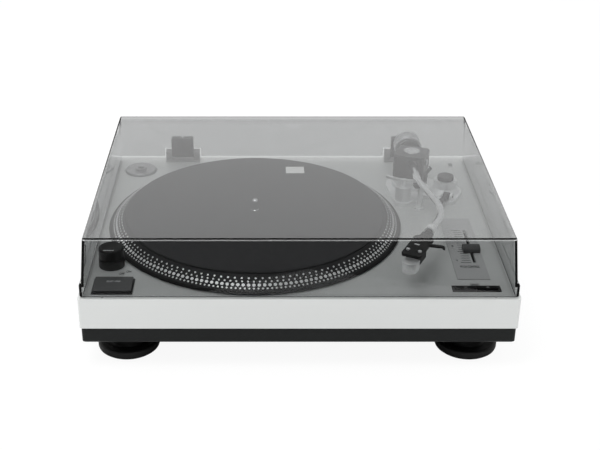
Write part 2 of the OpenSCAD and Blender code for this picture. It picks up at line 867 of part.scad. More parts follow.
// The start button's stem stands over the board, in front of the button's middle
function start_stem_dy() = speed_from_front - start_from_front;

module transformer() color([0.45, 0.43, 0.4]) {
    translate([core_at[0], core_at[1], foot_h + base_t]) {
        box(core_foot_w, core_foot_d, core_foot_t);
        translate([0, 0, core_foot_t]) box(core_w, core_d, core_h);
        translate([0, 0, core_foot_t + (core_h - coil_h) / 2]) box(coil_w, coil_d, coil_h);
    }
}

module rotary_switch() color([0.15, 0.15, 0.16]) {
    at(knob_at, -cabinet_t - switch_body_h) difference() {
        box(switch_body_w, switch_body_w, switch_body_h);
        translate([0, 0, 2]) cylinder(r = knob_shaft_r + running, h = switch_body_h);
    }
}

module pitch_fader() color([0.25, 0.25, 0.27]) {
    at([slot_x, slot_front + slot_len / 2], -cabinet_t - fader_h) difference() {
        box(fader_w, slot_len + 12, fader_h);
        translate([0, 0, 2]) box(slot_w, slot_len, fader_h);
    }
}

// Controls on the deck
module tray_body(w, d, play, h) {
    box(w - 2 * lip_w + 2 * play, d - 2 * lip_w + 2 * play, h);
}

function bay_pitch(w, n) = (w - 2 * (lip_w + tray_wall) + tray_wall) / n;

// A frame let into the deck, with a bay and a stem hole for each button
module bezel(w, d, n, stem_dy = 0) {
    bay_w = bay_pitch(w, n) - tray_wall;
    difference() {
        union() {
            box(w, d, tray_lip_h);
            translate([0, 0, -tray_depth]) tray_body(w, d, 0, tray_depth);
        }
        for (i = [0 : n - 1]) translate([(i - (n - 1) / 2) * bay_pitch(w, n), 0, 0]) {
            translate([0, 0, -tray_depth + tray_floor_t])
                box(bay_w, d - 2 * (lip_w + tray_wall), tray_depth + tray_lip_h);
            translate([0, stem_dy, -tray_depth - past])
                box(stem_w + 2 * gap, stem_d + 2 * gap, tray_depth);
        }
    }
}

module button(w, d, n, top_h, stem_dy = 0) {
    cap_w = bay_pitch(w, n) - tray_wall - 2 * gap;
    cap_d = d - 2 * (lip_w + tray_wall) - 2 * gap;
    translate([0, 0, cap_low_h]) box(cap_w, cap_d, top_h - cap_low_h);
    translate([0, stem_dy, stem_low_h]) box(stem_w, stem_d, cap_low_h - stem_low_h);
}

module start_bezel() color([0.13, 0.13, 0.13]) {
    at(start_at) bezel(start_w, start_d, 1, start_stem_dy());
}

module start_button() color([0.18, 0.18, 0.18]) {
    at(start_at) {
        button(start_w, start_d, 1, start_top_h, start_stem_dy());
        translate([0, 0, start_top_h - start_plate_t])
            box(start_w - 2 * start_plate_in, start_d - 2 * start_plate_in, start_plate_t);
    }
}

module speed_bezel() color([0.08, 0.08, 0.08]) {
    at(speed_at) bezel(speed_w, speed_d, 2);
}

module speed_button(side) {
    at(speed_at + [side * bay_pitch(speed_w, 2) / 2, 0]) button(speed_w, speed_d, 2, speed_top_h);
}

module button_33() color([0.14, 0.14, 0.14]) speed_button(-1);
module button_45() color([0.14, 0.14, 0.14]) speed_button(1);

module strobe_housing() color([0.08, 0.08, 0.08]) {
    at(knob_at) difference() {
        cylinder(r = strobe_r, h = strobe_h);
        translate([0, 0, -past]) cylinder(r = knob_shaft_r + running, h = strobe_h + 2 * past);
        translate([strobe_r - lens_t, -lens_w / 2 - fixed_play, 2])
            cube([2 * lens_t, lens_w + 2 * fixed_play, lens_h]);
    }
}

module strobe_lens() color([0.7, 0.08, 0.05, 0.8]) {
    at(knob_at) translate([strobe_r - lens_t, -lens_w / 2, 2]) cube([lens_t, lens_w, lens_h - fixed_play]);
}

module power_knob() color([0.07, 0.07, 0.07]) {
    at(knob_at) {
        rotate_extrude() polygon([[0, strobe_h + gap], [knob_r, strobe_h + gap], [knob_r, knob_top_h - 1],
            [knob_r - 1, knob_top_h], [0, knob_top_h]]);
        translate([0, 0, -cabinet_t - switch_body_h + 2.5])
            cylinder(r = knob_shaft_r, h = cabinet_t + switch_body_h - 2.5 + strobe_h + gap);
    }
}

module pitch_panel() color([0.55, 0.55, 0.56]) {
    at(pitch_at) difference() {
        box(pitch_w, pitch_len, pitch_t);
        translate([slot_x - pitch_at[0], slot_front + slot_len / 2 - pitch_at[1], -past])
            box(slot_w, slot_len, pitch_t + 2 * past);
    }
}

module pitch_slider() color([0.06, 0.06, 0.06]) {
    at([slot_x, slider_y]) {
        translate([0, 0, pitch_t + gap]) box(slider_w, slider_d, slider_top_h - pitch_t - gap);
        translate([0, 0, -cabinet_t - fader_h + 3])
            box(slider_stem_w, slider_stem_len, cabinet_t + fader_h - 3 + pitch_t + gap);
    }
}

module adapter_45() color([0.62, 0.62, 0.64]) {
    at(adapter_at, -well_depth) rotate_extrude() polygon([[spindle_r + running, 0], [adapter_r, 0],
        [adapter_r, adapter_t - 2], [adapter_r - 4, adapter_t], [spindle_r + running, adapter_t]]);
}

// Rear panel
module socket_plate() color([0.1, 0.1, 0.1]) {
    translate([-pocket_x, rear - pocket_depth + socket_plate_t / 2, pocket_z - pocket_h / 2 + fixed_play])
        box(pocket_w - 2 * fixed_play, socket_plate_t, pocket_h - 2 * fixed_play);
}

module on_socket_plate(dx) {
    translate([-pocket_x + dx, rear - pocket_depth + socket_plate_t, pocket_z])
        rotate([-90, 0, 0]) children();
}

module phono_sockets() color([0.75, 0.62, 0.3]) {
    for (i = [0, 1]) on_socket_plate((i - 1) * phono_pitch) difference() {
        union() {
            cylinder(r = phono_flange_r, h = phono_flange_t);
            cylinder(r = phono_r, h = phono_flange_t + phono_len);
        }
        translate([0, 0, phono_flange_t]) cylinder(r = 1.6, h = phono_len + past);
    }
}

module ground_post() color([0.7, 0.7, 0.72]) {
    on_socket_plate(phono_pitch) {
        cylinder(r = 1.6, h = 7);
        translate([0, 0, 2]) cylinder(r = post_r, h = 4);
    }
}

module mains_gland() color([0.09, 0.09, 0.09]) {
    translate([right - gland_x, rear, gland_z]) difference() {
        union() {
            rod(gland_r, gland_recess);
            rod(gland_body_r, gland_len);
        }
        translate([0, past, 0]) rod(gland_bore_r, gland_len + 2 * past);
    }
}

// Dust cover
module cover_block(t, top) {
    side_low = plinth_w / 2 - cover_side_low - t;
    side_top = plinth_w / 2 - cover_side_top - t;
    front_low = front + cover_front_low + t;
    front_top = front + cover_front_top + t;
    back = rear - cover_rear - t;
    low = deck_z + rim_gap;
    intersection() {
        translate([0, rear, 0]) rotate([90, 0, 0]) linear_extrude(height = plinth_d)
            polygon([[-side_low, low], [side_low, low], [side_top, top], [-side_top, top]]);
        translate([left, 0, 0]) rotate([90, 0, 90]) linear_extrude(height = plinth_w)
            polygon([[front_low, low], [back, low], [back, top], [front_top, top]]);
    }
}

module cover_band() {
    w = plinth_w - 2 * cover_side_low + 2 * band_out;
    y_front = front + cover_front_low - band_out;
    y_rear = rear - cover_rear;
    translate([-w / 2, y_front, deck_z + rim_gap]) cube([w, y_rear - y_front, band_h]);
}

module dust_cover() color([0.3, 0.3, 0.32, 0.4]) {
    difference() {
        union() {
            cover_block(0, deck_z + cover_h);
            cover_band();
        }
        cover_block(cover_t, deck_z + cover_h - cover_top_t);
        // The inside runs out of the rim at full width
        translate([0, 0, -rim_gap - past]) intersection() {
            cover_block(cover_t, deck_z + cover_h - cover_top_t);
            translate([left, front, deck_z + rim_gap]) cube([plinth_w, plinth_d, rim_gap + 2 * past]);
        }
        // The rear rim stands clear of the deck's edge
        translate([left, rear - cover_rear - cover_t - past, deck_z]) cube([plinth_w, 2 * cover_t, rear_gap]);
        for (s = [-1, 1])
            at([s * hinge_x, hinge_y], -past)
                box(bracket_w + 2 * notch_play, 4 * cover_t, notch_h + past);
    }
}

module hinge_axis(s) {
    at([s * hinge_x, hinge_y], hinge_h) children();
}

module hinge_blocks() color([0.1, 0.1, 0.1]) {
    for (s = [-1, 1]) hinge_axis(s) difference() {
        union() {
            cross_rod(knuckle_r, hinge_block_w);
            translate([0, rear - cover_rear - cover_t - hinge_y - hinge_block_d / 2, 0])
                box(hinge_block_w, hinge_block_d, hinge_block_h - hinge_h);
        }
        cross_rod(hinge_pin_r + running, hinge_block_w + 2 * past);
    }
}

module hinge_brackets() color([0.12, 0.12, 0.12]) {
    for (s = [-1, 1]) difference() {
        union() {
            at([s * hinge_x, hinge_y - bracket_back]) box(bracket_w, bracket_d, bracket_t);
            for (e = [-1, 1]) at([s * hinge_x + e * (hinge_block_w / 2 + gap + ear_t / 2), hinge_y]) {
                box(ear_t, 2 * knuckle_r, hinge_h);
                translate([0, 0, hinge_h]) cross_rod(knuckle_r, ear_t);
            }
        }
        hinge_axis(s) cross_rod(hinge_pin_r + fixed_play, bracket_w);
    }
}

module hinge_pins() color([0.7, 0.7, 0.72]) {
    for (s = [-1, 1]) hinge_axis(s) cross_rod(hinge_pin_r, hinge_block_w + 2 * (gap + ear_t));
}

module lid_bumpers() color([0.1, 0.1, 0.1]) {
    for (x = [-bumper_x, bumper_x])
        at([x, front + cover_front_low + cover_t / 2]) cylinder(r = bumper_r, h = rim_gap - bumper_gap);
}

// Arm base and rest
module base_plate_outline() {
    belt_outline(pivot_at, plate_r, pivot_at + dial_at, dial_plate_r);
    belt_outline(pivot_at, plate_r, pivot_at + lift_at, lift_plate_r);
    belt_outline(pivot_at + dial_at, dial_plate_r, pivot_at + lever_at, lever_plate_r);
}

module at_lever(h) {
    at(pivot_at + lever_at, h) rotate([0, 0, -lever_turn]) children();
}

module arm_base() color([0.72, 0.72, 0.74]) {
    difference() {
        union() {
            at([0, 0]) linear_extrude(height = plate_t) base_plate_outline();
            at(pivot_at) cylinder(r = column_r, h = column_h);
            at(pivot_at) cylinder(r = column_ring_r, h = column_ring_h);
            at(pivot_at + dial_at) rotate_extrude() polygon([[0, 1], [dial_foot_r, 1],
                [dial_foot_r, plate_t],
                [dial_body_r, plate_t + 6], [dial_body_r, dial_body_h], [0, dial_body_h]]);
            at(pivot_at + lift_at) cylinder(r = lift_guide_r, h = lift_guide_h);
            at_lever(0) for (s = [-1, 1]) translate([s * (lever_hub_w + lever_ear_t + 2 * gap) / 2, 0, 0]) {
                box(lever_ear_t, 2 * lever_ear_r, lever_h);
                translate([0, 0, lever_h]) cross_rod(lever_ear_r, lever_ear_t);
            }
        }
        at(pivot_at, pivot_bore_floor) cylinder(r = pivot_shaft_r + running, h = column_h);
        at(pivot_at + dial_at, plate_t) cylinder(r = dial_shaft_r + running, h = dial_body_h);
        at(pivot_at + lift_at, plate_t) cylinder(r = lift_rod_r + running, h = lift_guide_h);
        at_lever(lever_h) cross_rod(lever_pin_r + running, 4 * lever_hub_w);
    }
}

module antiskate_dial() color([0.1, 0.1, 0.1]) {
    at(pivot_at + dial_at) {
        rotate_extrude() polygon([[0, dial_body_h + gap], [dial_r, dial_body_h + gap],
            [dial_r, dial_top_h - 0.8], [dial_r - 0.8, dial_top_h], [0, dial_top_h]]);
        translate([0, 0, plate_t + 0.5]) cylinder(r = dial_shaft_r, h = dial_body_h - plate_t - 0.5 + gap);
    }
}

module cue_lift() color([0.2, 0.2, 0.2]) {
    low = lift_rest_h - lift_bar_t;
    at(pivot_at, low) rotate([0, 0, lift_arc_start]) rotate_extrude(angle = lift_arc)
        translate([lift_ring_r - lift_bar_w / 2, 0]) square([lift_bar_w, lift_bar_t]);
    at(pivot_at + lift_at, plate_t + 0.5) cylinder(r = lift_rod_r, h = low - plate_t - 0.5 + lift_bar_t);
}

module cue_lever() color([0.08, 0.08, 0.08]) {
    at_lever(lever_h) {
        cross_rod(lever_hub_r, lever_hub_w);
        cross_rod(lever_pin_r, lever_hub_w + 2 * (gap + lever_ear_t));
        translate([-2.5, -lever_len, -1.5]) cube([5, lever_len, 3]);
        translate([0, -lever_len, -1.5]) cylinder(r = 4, h = 3);
    }
}

module at_rest() {
    at(rest_at) rotate([0, 0, long_angle]) children();
}

module arm_rest() color([0.12, 0.12, 0.12]) {
    pad_h = arm_h - tube_r - rest_drop;
    at_rest() difference() {
        union() {
            translate([rest_post_x, 0, 0]) cylinder(r = rest_foot_r, h = rest_foot_h);
            translate([rest_post_x, 0, 0]) cylinder(r = rest_post_r, h = pad_h - 1);
            translate([-tube_r - 1, -rest_d / 2, pad_h - rest_pad_t])
                cube([rest_wall_x + rest_wall_t + tube_r + 1, rest_d, rest_pad_t]);
            translate([rest_wall_x, -rest_d / 2, pad_h - 1])
                cube([rest_wall_t, rest_d, arm_h + 4 - pad_h + 1]);
            for (s = [-1, 1]) translate([latch_x, s * (rest_d - latch_ear_t) / 2, arm_h + latch_rise]) {
                rotate([90, 0, 0]) cylinder(r = latch_hub_r, h = latch_ear_t, center = true);
                translate([-rest_wall_t / 2, -latch_ear_t / 2, -latch_rise + 3.5])
                    cube([rest_wall_t, latch_ear_t, latch_rise - 3.5]);
            }
        }
        translate([latch_x, 0, arm_h + latch_rise]) rotate([90, 0, 0])
            cylinder(r = latch_pin_r + running, h = 2 * rest_d, center = true);
    }
}

module rest_latch() color([0.12, 0.12, 0.12]) {
    hub_w = rest_d - 2 * latch_ear_t - 2 * gap;
    at_rest() translate([latch_x, 0, arm_h + latch_rise]) {
        rotate([90, 0, 0]) cylinder(r = latch_hub_r, h = hub_w, center = true);
        rotate([90, 0, 0]) cylinder(r = latch_pin_r, h = rest_d, center = true);
        rotate([0, -latch_open, 0]) {
            translate([0, -hub_w / 2, -1]) cube([latch_len, hub_w, 2]);
            translate([latch_len - 1.5, -hub_w / 2, -1]) cube([1.5, hub_w, 3.2]);
        }
    }
}

// Gimbal
module at_yoke(h) {
    at(pivot_at, h) rotate([0, 0, -yoke_angle]) children();
}

module arm_yoke() color([0.09, 0.09, 0.09]) {
    top = yoke_top_h - cover_plate_t;
    difference() {
        union() {
            at_yoke(yoke_low_h) rounded_plate(yoke_w, yoke_d, top - yoke_low_h, yoke_corner_r);
            at(pivot_at, pivot_bore_floor + 0.5)
                cylinder(r = pivot_shaft_r, h = yoke_low_h - pivot_bore_floor);
        }
        at_yoke(yoke_floor_h) box(cavity_w, cavity_d, yoke_top_h);
        at(pivot_at, arm_h) rod(tube_r + 2, yoke_w);
        at(pivot_at, arm_h) rotate([0, 0, 180]) rod(tail_r + 2, yoke_w);
        at_yoke(arm_h) cross_rod(gimbal_pin_r + running, yoke_w + 2 * past);
    }
}

module yoke_cover() color([0.09, 0.09, 0.09]) {
    at_yoke(yoke_top_h - cover_plate_t) rounded_plate(yoke_w, yoke_d, cover_plate_t, yoke_corner_r);
}

module pivot_cap() color([0.82, 0.82, 0.84]) {
    at(pivot_at, yoke_top_h) cylinder(r = cap_r, h = cap_t);
}

module pivot_screws() color([0.75, 0.75, 0.77]) {
    for (s = [0, 180]) at_yoke(arm_h) rotate([0, 0, s]) rotate([0, 90, 0]) {
        translate([0, 0, hub_w / 2 - gimbal_bite + 0.5])
            cylinder(r = gimbal_pin_r, h = (yoke_w - hub_w) / 2 + gimbal_bite - 0.5);
        translate([0, 0, yoke_w / 2]) cylinder(r = gimbal_pin_r + 1.4, h = 1.2);
    }
}

module tube_bend(centre, r, start, angle, section_r) {
    translate([centre[0], centre[1], arm_z]) rotate([0, 0, start]) rotate_extrude(angle = angle)
        translate([r, 0]) circle(section_r - bend_step);
}

// A straight runs a little way into the bends at its ends
module tube_straight(start, angle, len, section_r, into_next) {
    translate([start[0], start[1], arm_z]) rotate([0, 0, angle]) translate([0, bend_bite, 0])
        rod(section_r, len + bend_bite + into_next);
}

// The S of the tube, from the root's end to the locking collar
module tube_path(section_r, end_bite) {
    bend_1_at = root_end + [bend_1_r, 0];
    bend_2_at = bend_2_start - bend_2_r * [cos(long_angle), sin(long_angle)];
    tube_bend(bend_1_at, bend_1_r, 180, long_angle, section_r);
    tube_straight(bend_1_end, long_angle, long_len, section_r, bend_bite);
    tube_bend(bend_2_at, bend_2_r, -head_angle, long_angle + head_angle, section_r);
    tube_straight(bend_2_end, -head_angle, neck_len, section_r, end_bite);
}

module arm_tube() color([0.85, 0.85, 0.87]) {
    difference() {
        union() {
            at_yoke(arm_h - hub_h / 2) box(hub_w, hub_d, hub_h);
            at(pivot_at, arm_h) rod(tube_r, root_len + bend_bite);
            at(pivot_at, arm_h) rotate([0, 0, 180]) rod(tail_r, tail_len);
            tube_path(tube_r, 0);
        }
        tube_path(tube_r - tube_wall, past);
        for (s = [0, 180]) at_yoke(arm_h) rotate([0, 0, s]) rotate([0, 90, 0])
            translate([0, 0, hub_w / 2 - gimbal_bite])
                cylinder(r = gimbal_pin_r + running, h = gimbal_bite + past);
    }
}

// Head: local -Y runs from the tube's end towards the stylus
module at_head() {
    translate([tube_end[0], tube_end[1], arm_z]) rotate([0, 0, -head_angle]) children();
}

module headshell() color([0.07, 0.07, 0.07]) {
    n = head_neck_w / 2;
    w = head_w / 2;
    at_head() {
        rod(plug_r, plug_len);
        translate([0, 0, head_low]) difference() {
            linear_extrude(height = head_t) polygon([[-n, -plug_len + 1], [n, -plug_len + 1],
                [n, -head_neck_len], [w, -head_neck_len - 5], [w, -head_len + 3], [w - 2, -head_len],
                [-w + 2, -head_len], [-w, -head_len + 3], [-w, -head_neck_len - 5], [-n, -head_neck_len]]);
            for (s = [-1, 1]) translate([s * head_slot_x, -cartridge_front + 3, -past])
                box(head_slot_w, head_slot_len, head_t + 2 * past);
        }
        translate([w - 1, -head_len + finger_from_front, head_low + head_t - finger_t])
            rotate([0, 0, finger_sweep]) {
                translate([-1, -finger_w / 2, 0]) cube([finger_len - finger_curl_r + 2, finger_w, finger_t]);
                translate([finger_len - finger_curl_r + 1, finger_w / 2, finger_t / 2 - finger_curl_r])
                    rotate([90, 0, 0]) rotate_extrude(angle = 90)
                        translate([finger_curl_r - finger_t / 2, 0]) square([finger_t, finger_w]);
            }
    }
}

module cartridge() color([0.1, 0.1, 0.1]) {
    at_head() translate([0, -cartridge_front + cartridge_len / 2, head_low - cartridge_h])
        box(cartridge_w, cartridge_len, cartridge_h);
}

module stylus() color([0.2, 0.2, 0.2]) {
    low = head_low - cartridge_h - stylus_t;
    at_head() translate([0, -cartridge_front, low]) {
        translate([0, stylus_len / 2 - 4, 0]) box(stylus_w, stylus_len, stylus_t);
        translate([0, -3, -0.5]) cylinder(r1 = 0.2, r2 = 0.6, h = 0.5);
    }
}

module guard_outline(r, back) {
    translate([0, -guard_r]) circle(r);
    translate([-r, -guard_r]) square([2 * r, guard_r - back]);
}

module stylus_guard() color([0.9, 0.92, 0.92, 0.5]) {
    at_head() translate([0, -cartridge_front, -guard_drop]) difference() {
        linear_extrude(height = guard_h) guard_outline(guard_r, gap);
        translate([0, 0, guard_t]) linear_extrude(height = guard_h - 2 * guard_t)
            guard_outline(guard_r - guard_t, -past);
    }
}

module locking_collar() color([0.85, 0.85, 0.87]) {
    at_head() translate([0, collar_back, 0]) difference() {
        rod(collar_r, collar_len);
        translate([0, past, 0]) rod(tube_r + running, collar_len + 2 * past);
    }
}

module behind_pivot(y) {
    at(pivot_at + [0, y], arm_h) rotate([0, 0, 180]) children();
}

module force_dial() color([0.12, 0.12, 0.12]) {
    behind_pivot(force_dial_from_pivot) difference() {
        rod(force_dial_r, force_dial_len);
        translate([0, past, 0]) rod(tail_r + running, force_dial_len + 2 * past);
    }
}

module counterweight() color([0.6, 0.6, 0.62]) {
    behind_pivot(weight_from_pivot) difference() {
        rod(weight_r, weight_len);
        translate([0, past, 0]) rod(tail_r + running, weight_len + 2 * past);
    }
}

base_pan();
cabinet();
foot_front_left();
foot_front_right();
foot_rear_left();
foot_rear_right();
case_screws();
bearing_housing();
thrust_ball();
motor();
motor_grommets();
motor_screws();
drive_belt();
control_board();
tact_switches();
transformer();
pitch_fader();
pitch_panel();
start_bezel();
speed_bezel();
rotary_switch();
strobe_housing();
strobe_lens();
socket_plate();
phono_sockets();
ground_post();
mains_gland();
arm_base();
arm_rest();
hinge_brackets();
hinge_pins();
lid_bumpers();
platter();
spindle();
slipmat();
motor_pulley();
dust_cover();
hinge_blocks();
arm_yoke();
yoke_cover();
pivot_screws();
pivot_cap();
arm_tube();
headshell();
cartridge();
stylus();
locking_collar();
stylus_guard();
counterweight();
force_dial();
antiskate_dial();
cue_lever();
cue_lift();
rest_latch();
start_button();
button_33();
button_45();
pitch_slider();
power_knob();
adapter_45();
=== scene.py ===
"""Looks of the belt drive turntable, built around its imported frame."""

import math

import bmesh
import bpy
from mathutils import Matrix, Vector


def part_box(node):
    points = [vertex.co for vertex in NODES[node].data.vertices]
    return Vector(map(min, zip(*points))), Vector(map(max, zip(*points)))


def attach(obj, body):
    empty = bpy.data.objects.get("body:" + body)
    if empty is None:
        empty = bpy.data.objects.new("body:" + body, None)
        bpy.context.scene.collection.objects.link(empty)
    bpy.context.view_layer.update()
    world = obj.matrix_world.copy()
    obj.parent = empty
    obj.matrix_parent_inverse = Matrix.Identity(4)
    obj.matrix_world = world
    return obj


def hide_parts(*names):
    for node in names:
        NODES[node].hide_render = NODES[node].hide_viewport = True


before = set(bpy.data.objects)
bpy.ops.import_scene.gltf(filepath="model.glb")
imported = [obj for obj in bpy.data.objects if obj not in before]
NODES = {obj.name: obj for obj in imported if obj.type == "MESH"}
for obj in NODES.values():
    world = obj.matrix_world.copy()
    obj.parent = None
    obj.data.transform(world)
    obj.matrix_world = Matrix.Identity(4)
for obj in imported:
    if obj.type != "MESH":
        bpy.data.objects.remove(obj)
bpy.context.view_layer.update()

# Sizes in metres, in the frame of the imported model
MM = 0.001
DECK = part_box("cabinet")[1].z
SPINDLE = Vector((-46 * MM, -7 * MM, DECK))
PIVOT = Vector((142 * MM, 88 * MM, DECK))
ARM_H = 37 * MM
TUBE_AXIS = PIVOT + Vector((0, 0, ARM_H))
ADAPTER_AT = Vector((-191.3 * MM, 139.4 * MM, DECK))
DIAL_AT = Vector((182 * MM, 71 * MM, DECK))
# The head runs from the tube's end towards the front, turned inwards
HEAD_AT = TUBE_AXIS + Vector((-2 * MM, -188 * MM, 0))
HEAD_TURN = math.radians(-26)
MAT_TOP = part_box("slipmat")[1].z


# Materials


def new_material(name):
    m = bpy.data.materials.new(name)
    m.use_nodes = True
    m.node_tree.nodes.clear()
    return m


def add(tree, kind, **values):
    n = tree.nodes.new(kind)
    for key, value in values.items():
        if hasattr(n, key):
            setattr(n, key, value)
        else:
            n.inputs[key.replace("_", " ")].default_value = value
    return n


def link(tree, a, b):
    tree.links.new(a, b)


def group_socket(tree, name, way, kind, value=None):
    s = tree.interface.new_socket(name, in_out=way, socket_type="NodeSocket" + kind)
    if value is not None:
        s.default_value = value


def make_grain_group():
    """Fine moulded grain: a height for the bump, a shade for the colour and a gloss for the roughness."""
    t = bpy.data.node_groups.new("fine_grain", "ShaderNodeTree")
    group_socket(t, "Grain Scale", "INPUT", "Float", 900.0)
    group_socket(t, "Cloud Scale", "INPUT", "Float", 18.0)
    group_socket(t, "Colour", "INPUT", "Color", (0.5, 0.5, 0.5, 1))
    group_socket(t, "Variation", "INPUT", "Float", 0.08)
    group_socket(t, "Roughness", "INPUT", "Float", 0.5)
    group_socket(t, "Height", "OUTPUT", "Float")
    group_socket(t, "Colour", "OUTPUT", "Color")
    group_socket(t, "Roughness", "OUTPUT", "Float")
    inp, out = t.nodes.new("NodeGroupInput"), t.nodes.new("NodeGroupOutput")
    where = add(t, "ShaderNodeTexCoord")
    grain = add(t, "ShaderNodeTexNoise", Detail=2.0)
    cloud = add(t, "ShaderNodeTexNoise", Detail=4.0)
    for n, socket in ((grain, "Grain Scale"), (cloud, "Cloud Scale")):
        link(t, where.outputs["Object"], n.inputs["Vector"])
        link(t, inp.outputs[socket], n.inputs["Scale"])
    # Both noises lie round 0.5, so the mean stays the written colour
    both = add(t, "ShaderNodeMath", operation="ADD")
    link(t, grain.outputs["Fac"], both.inputs[0])
    link(t, cloud.outputs["Fac"], both.inputs[1])
    centred = add(t, "ShaderNodeMath", operation="SUBTRACT")
    link(t, both.outputs[0], centred.inputs[0])
    centred.inputs[1].default_value = 1.0
    amount = add(t, "ShaderNodeMath", operation="MULTIPLY")
    link(t, centred.outputs[0], amount.inputs[0])
    link(t, inp.outputs["Variation"], amount.inputs[1])
    factor = add(t, "ShaderNodeMath", operation="ADD")
    link(t, amount.outputs[0], factor.inputs[0])
    factor.inputs[1].default_value = 1.0
    shade = add(t, "ShaderNodeVectorMath", operation="SCALE")
    link(t, inp.outputs["Colour"], shade.inputs[0])
    link(t, factor.outputs[0], shade.inputs["Scale"])
    rough = add(t, "ShaderNodeMath", operation="MULTIPLY", use_clamp=True)
    link(t, inp.outputs["Roughness"], rough.inputs[0])
    link(t, factor.outputs[0], rough.inputs[1])
    link(t, grain.outputs["Fac"], out.inputs["Height"])
    link(t, shade.outputs[0], out.inputs["Colour"])
    link(t, rough.outputs[0], out.inputs["Roughness"])
    return t


def make_turning_group():
    """Concentric lathe marks round a centre: a height and a roughness."""
    t = bpy.data.node_groups.new("lathe_marks", "ShaderNodeTree")
    group_socket(t, "Centre", "INPUT", "Vector", (0, 0, 0))
    group_socket(t, "Turn", "INPUT", "Vector", (0, 0, 0))
    group_socket(t, "Pitch", "INPUT", "Float", 700.0)
    group_socket(t, "Roughness", "INPUT", "Float", 0.3)
    group_socket(t, "Height", "OUTPUT", "Float")
    group_socket(t, "Roughness", "OUTPUT", "Float")
    inp, out = t.nodes.new("NodeGroupInput"), t.nodes.new("NodeGroupOutput")
    where = add(t, "ShaderNodeTexCoord")
    shift = add(t, "ShaderNodeVectorMath", operation="SUBTRACT")
    link(t, where.outputs["Object"], shift.inputs[0])
    link(t, inp.outputs["Centre"], shift.inputs[1])
    turn = add(t, "ShaderNodeVectorRotate", rotation_type="EULER_XYZ")
    link(t, shift.outputs[0], turn.inputs["Vector"])
    link(t, inp.outputs["Turn"], turn.inputs["Rotation"])
    rings = add(t, "ShaderNodeTexWave", wave_type="RINGS", rings_direction="Z", Distortion=0.6, Detail=2.0)
    link(t, turn.outputs[0], rings.inputs["Vector"])
    link(t, inp.outputs["Pitch"], rings.inputs["Scale"])
    spread = add(t, "ShaderNodeMath", operation="MULTIPLY_ADD")
    link(t, rings.outputs["Fac"], spread.inputs[0])
    spread.inputs[1].default_value = 0.3
    spread.inputs[2].default_value = 0.85
    rough = add(t, "ShaderNodeMath", operation="MULTIPLY", use_clamp=True)
    link(t, spread.outputs[0], rough.inputs[0])
    link(t, inp.outputs["Roughness"], rough.inputs[1])
    link(t, rings.outputs["Fac"], out.inputs["Height"])
    link(t, rough.outputs[0], out.inputs["Roughness"])
    return t


GRAIN = make_grain_group()
TURNING = make_turning_group()


def surface(name, colour, roughness, metallic=0.0, grain=900.0, cloud=18.0, variation=0.08, bump=0.0003, coat=0.0,
            specular=0.5):
    """An opaque finish with the shared grain on its colour, its gloss and its bump."""
    m = new_material(name)
    t = m.node_tree
    out = add(t, "ShaderNodeOutputMaterial")
    p = add(t, "ShaderNodeBsdfPrincipled", Metallic=metallic, Coat_Weight=coat, Coat_Roughness=0.08)
    p.inputs["Specular IOR Level"].default_value = specular
    g = add(t, "ShaderNodeGroup", node_tree=GRAIN)
    g.inputs["Grain Scale"].default_value = grain
    g.inputs["Cloud Scale"].default_value = cloud
    g.inputs["Colour"].default_value = (*colour, 1)
    g.inputs["Variation"].default_value = variation
    g.inputs["Roughness"].default_value = roughness
    b = add(t, "ShaderNodeBump", Strength=0.35, Distance=bump)
    link(t, g.outputs["Height"], b.inputs["Height"])
    link(t, g.outputs["Colour"], p.inputs["Base Color"])
    link(t, g.outputs["Roughness"], p.inputs["Roughness"])
    link(t, b.outputs["Normal"], p.inputs["Normal"])
    link(t, p.outputs["BSDF"], out.inputs["Surface"])
    return m


def turned(name, colour, roughness, centre, turn=(0, 0, 0), pitch=700.0, metallic=1.0, specular=0.5):
    """Metal from a lathe, with fine rings round its axis."""
    m = new_material(name)
    t = m.node_tree
    out = add(t, "ShaderNodeOutputMaterial")
    p = add(t, "ShaderNodeBsdfPrincipled", Metallic=metallic)
    p.inputs["Base Color"].default_value = (*colour, 1)
    p.inputs["Specular IOR Level"].default_value = specular
    g = add(t, "ShaderNodeGroup", node_tree=TURNING)
    g.inputs["Centre"].default_value = centre
    g.inputs["Turn"].default_value = turn
    g.inputs["Pitch"].default_value = pitch
    g.inputs["Roughness"].default_value = roughness
    b = add(t, "ShaderNodeBump", Strength=0.15, Distance=0.00005)
    link(t, g.outputs["Height"], b.inputs["Height"])
    link(t, g.outputs["Roughness"], p.inputs["Roughness"])
    link(t, b.outputs["Normal"], p.inputs["Normal"])
    link(t, p.outputs["BSDF"], out.inputs["Surface"])
    return m


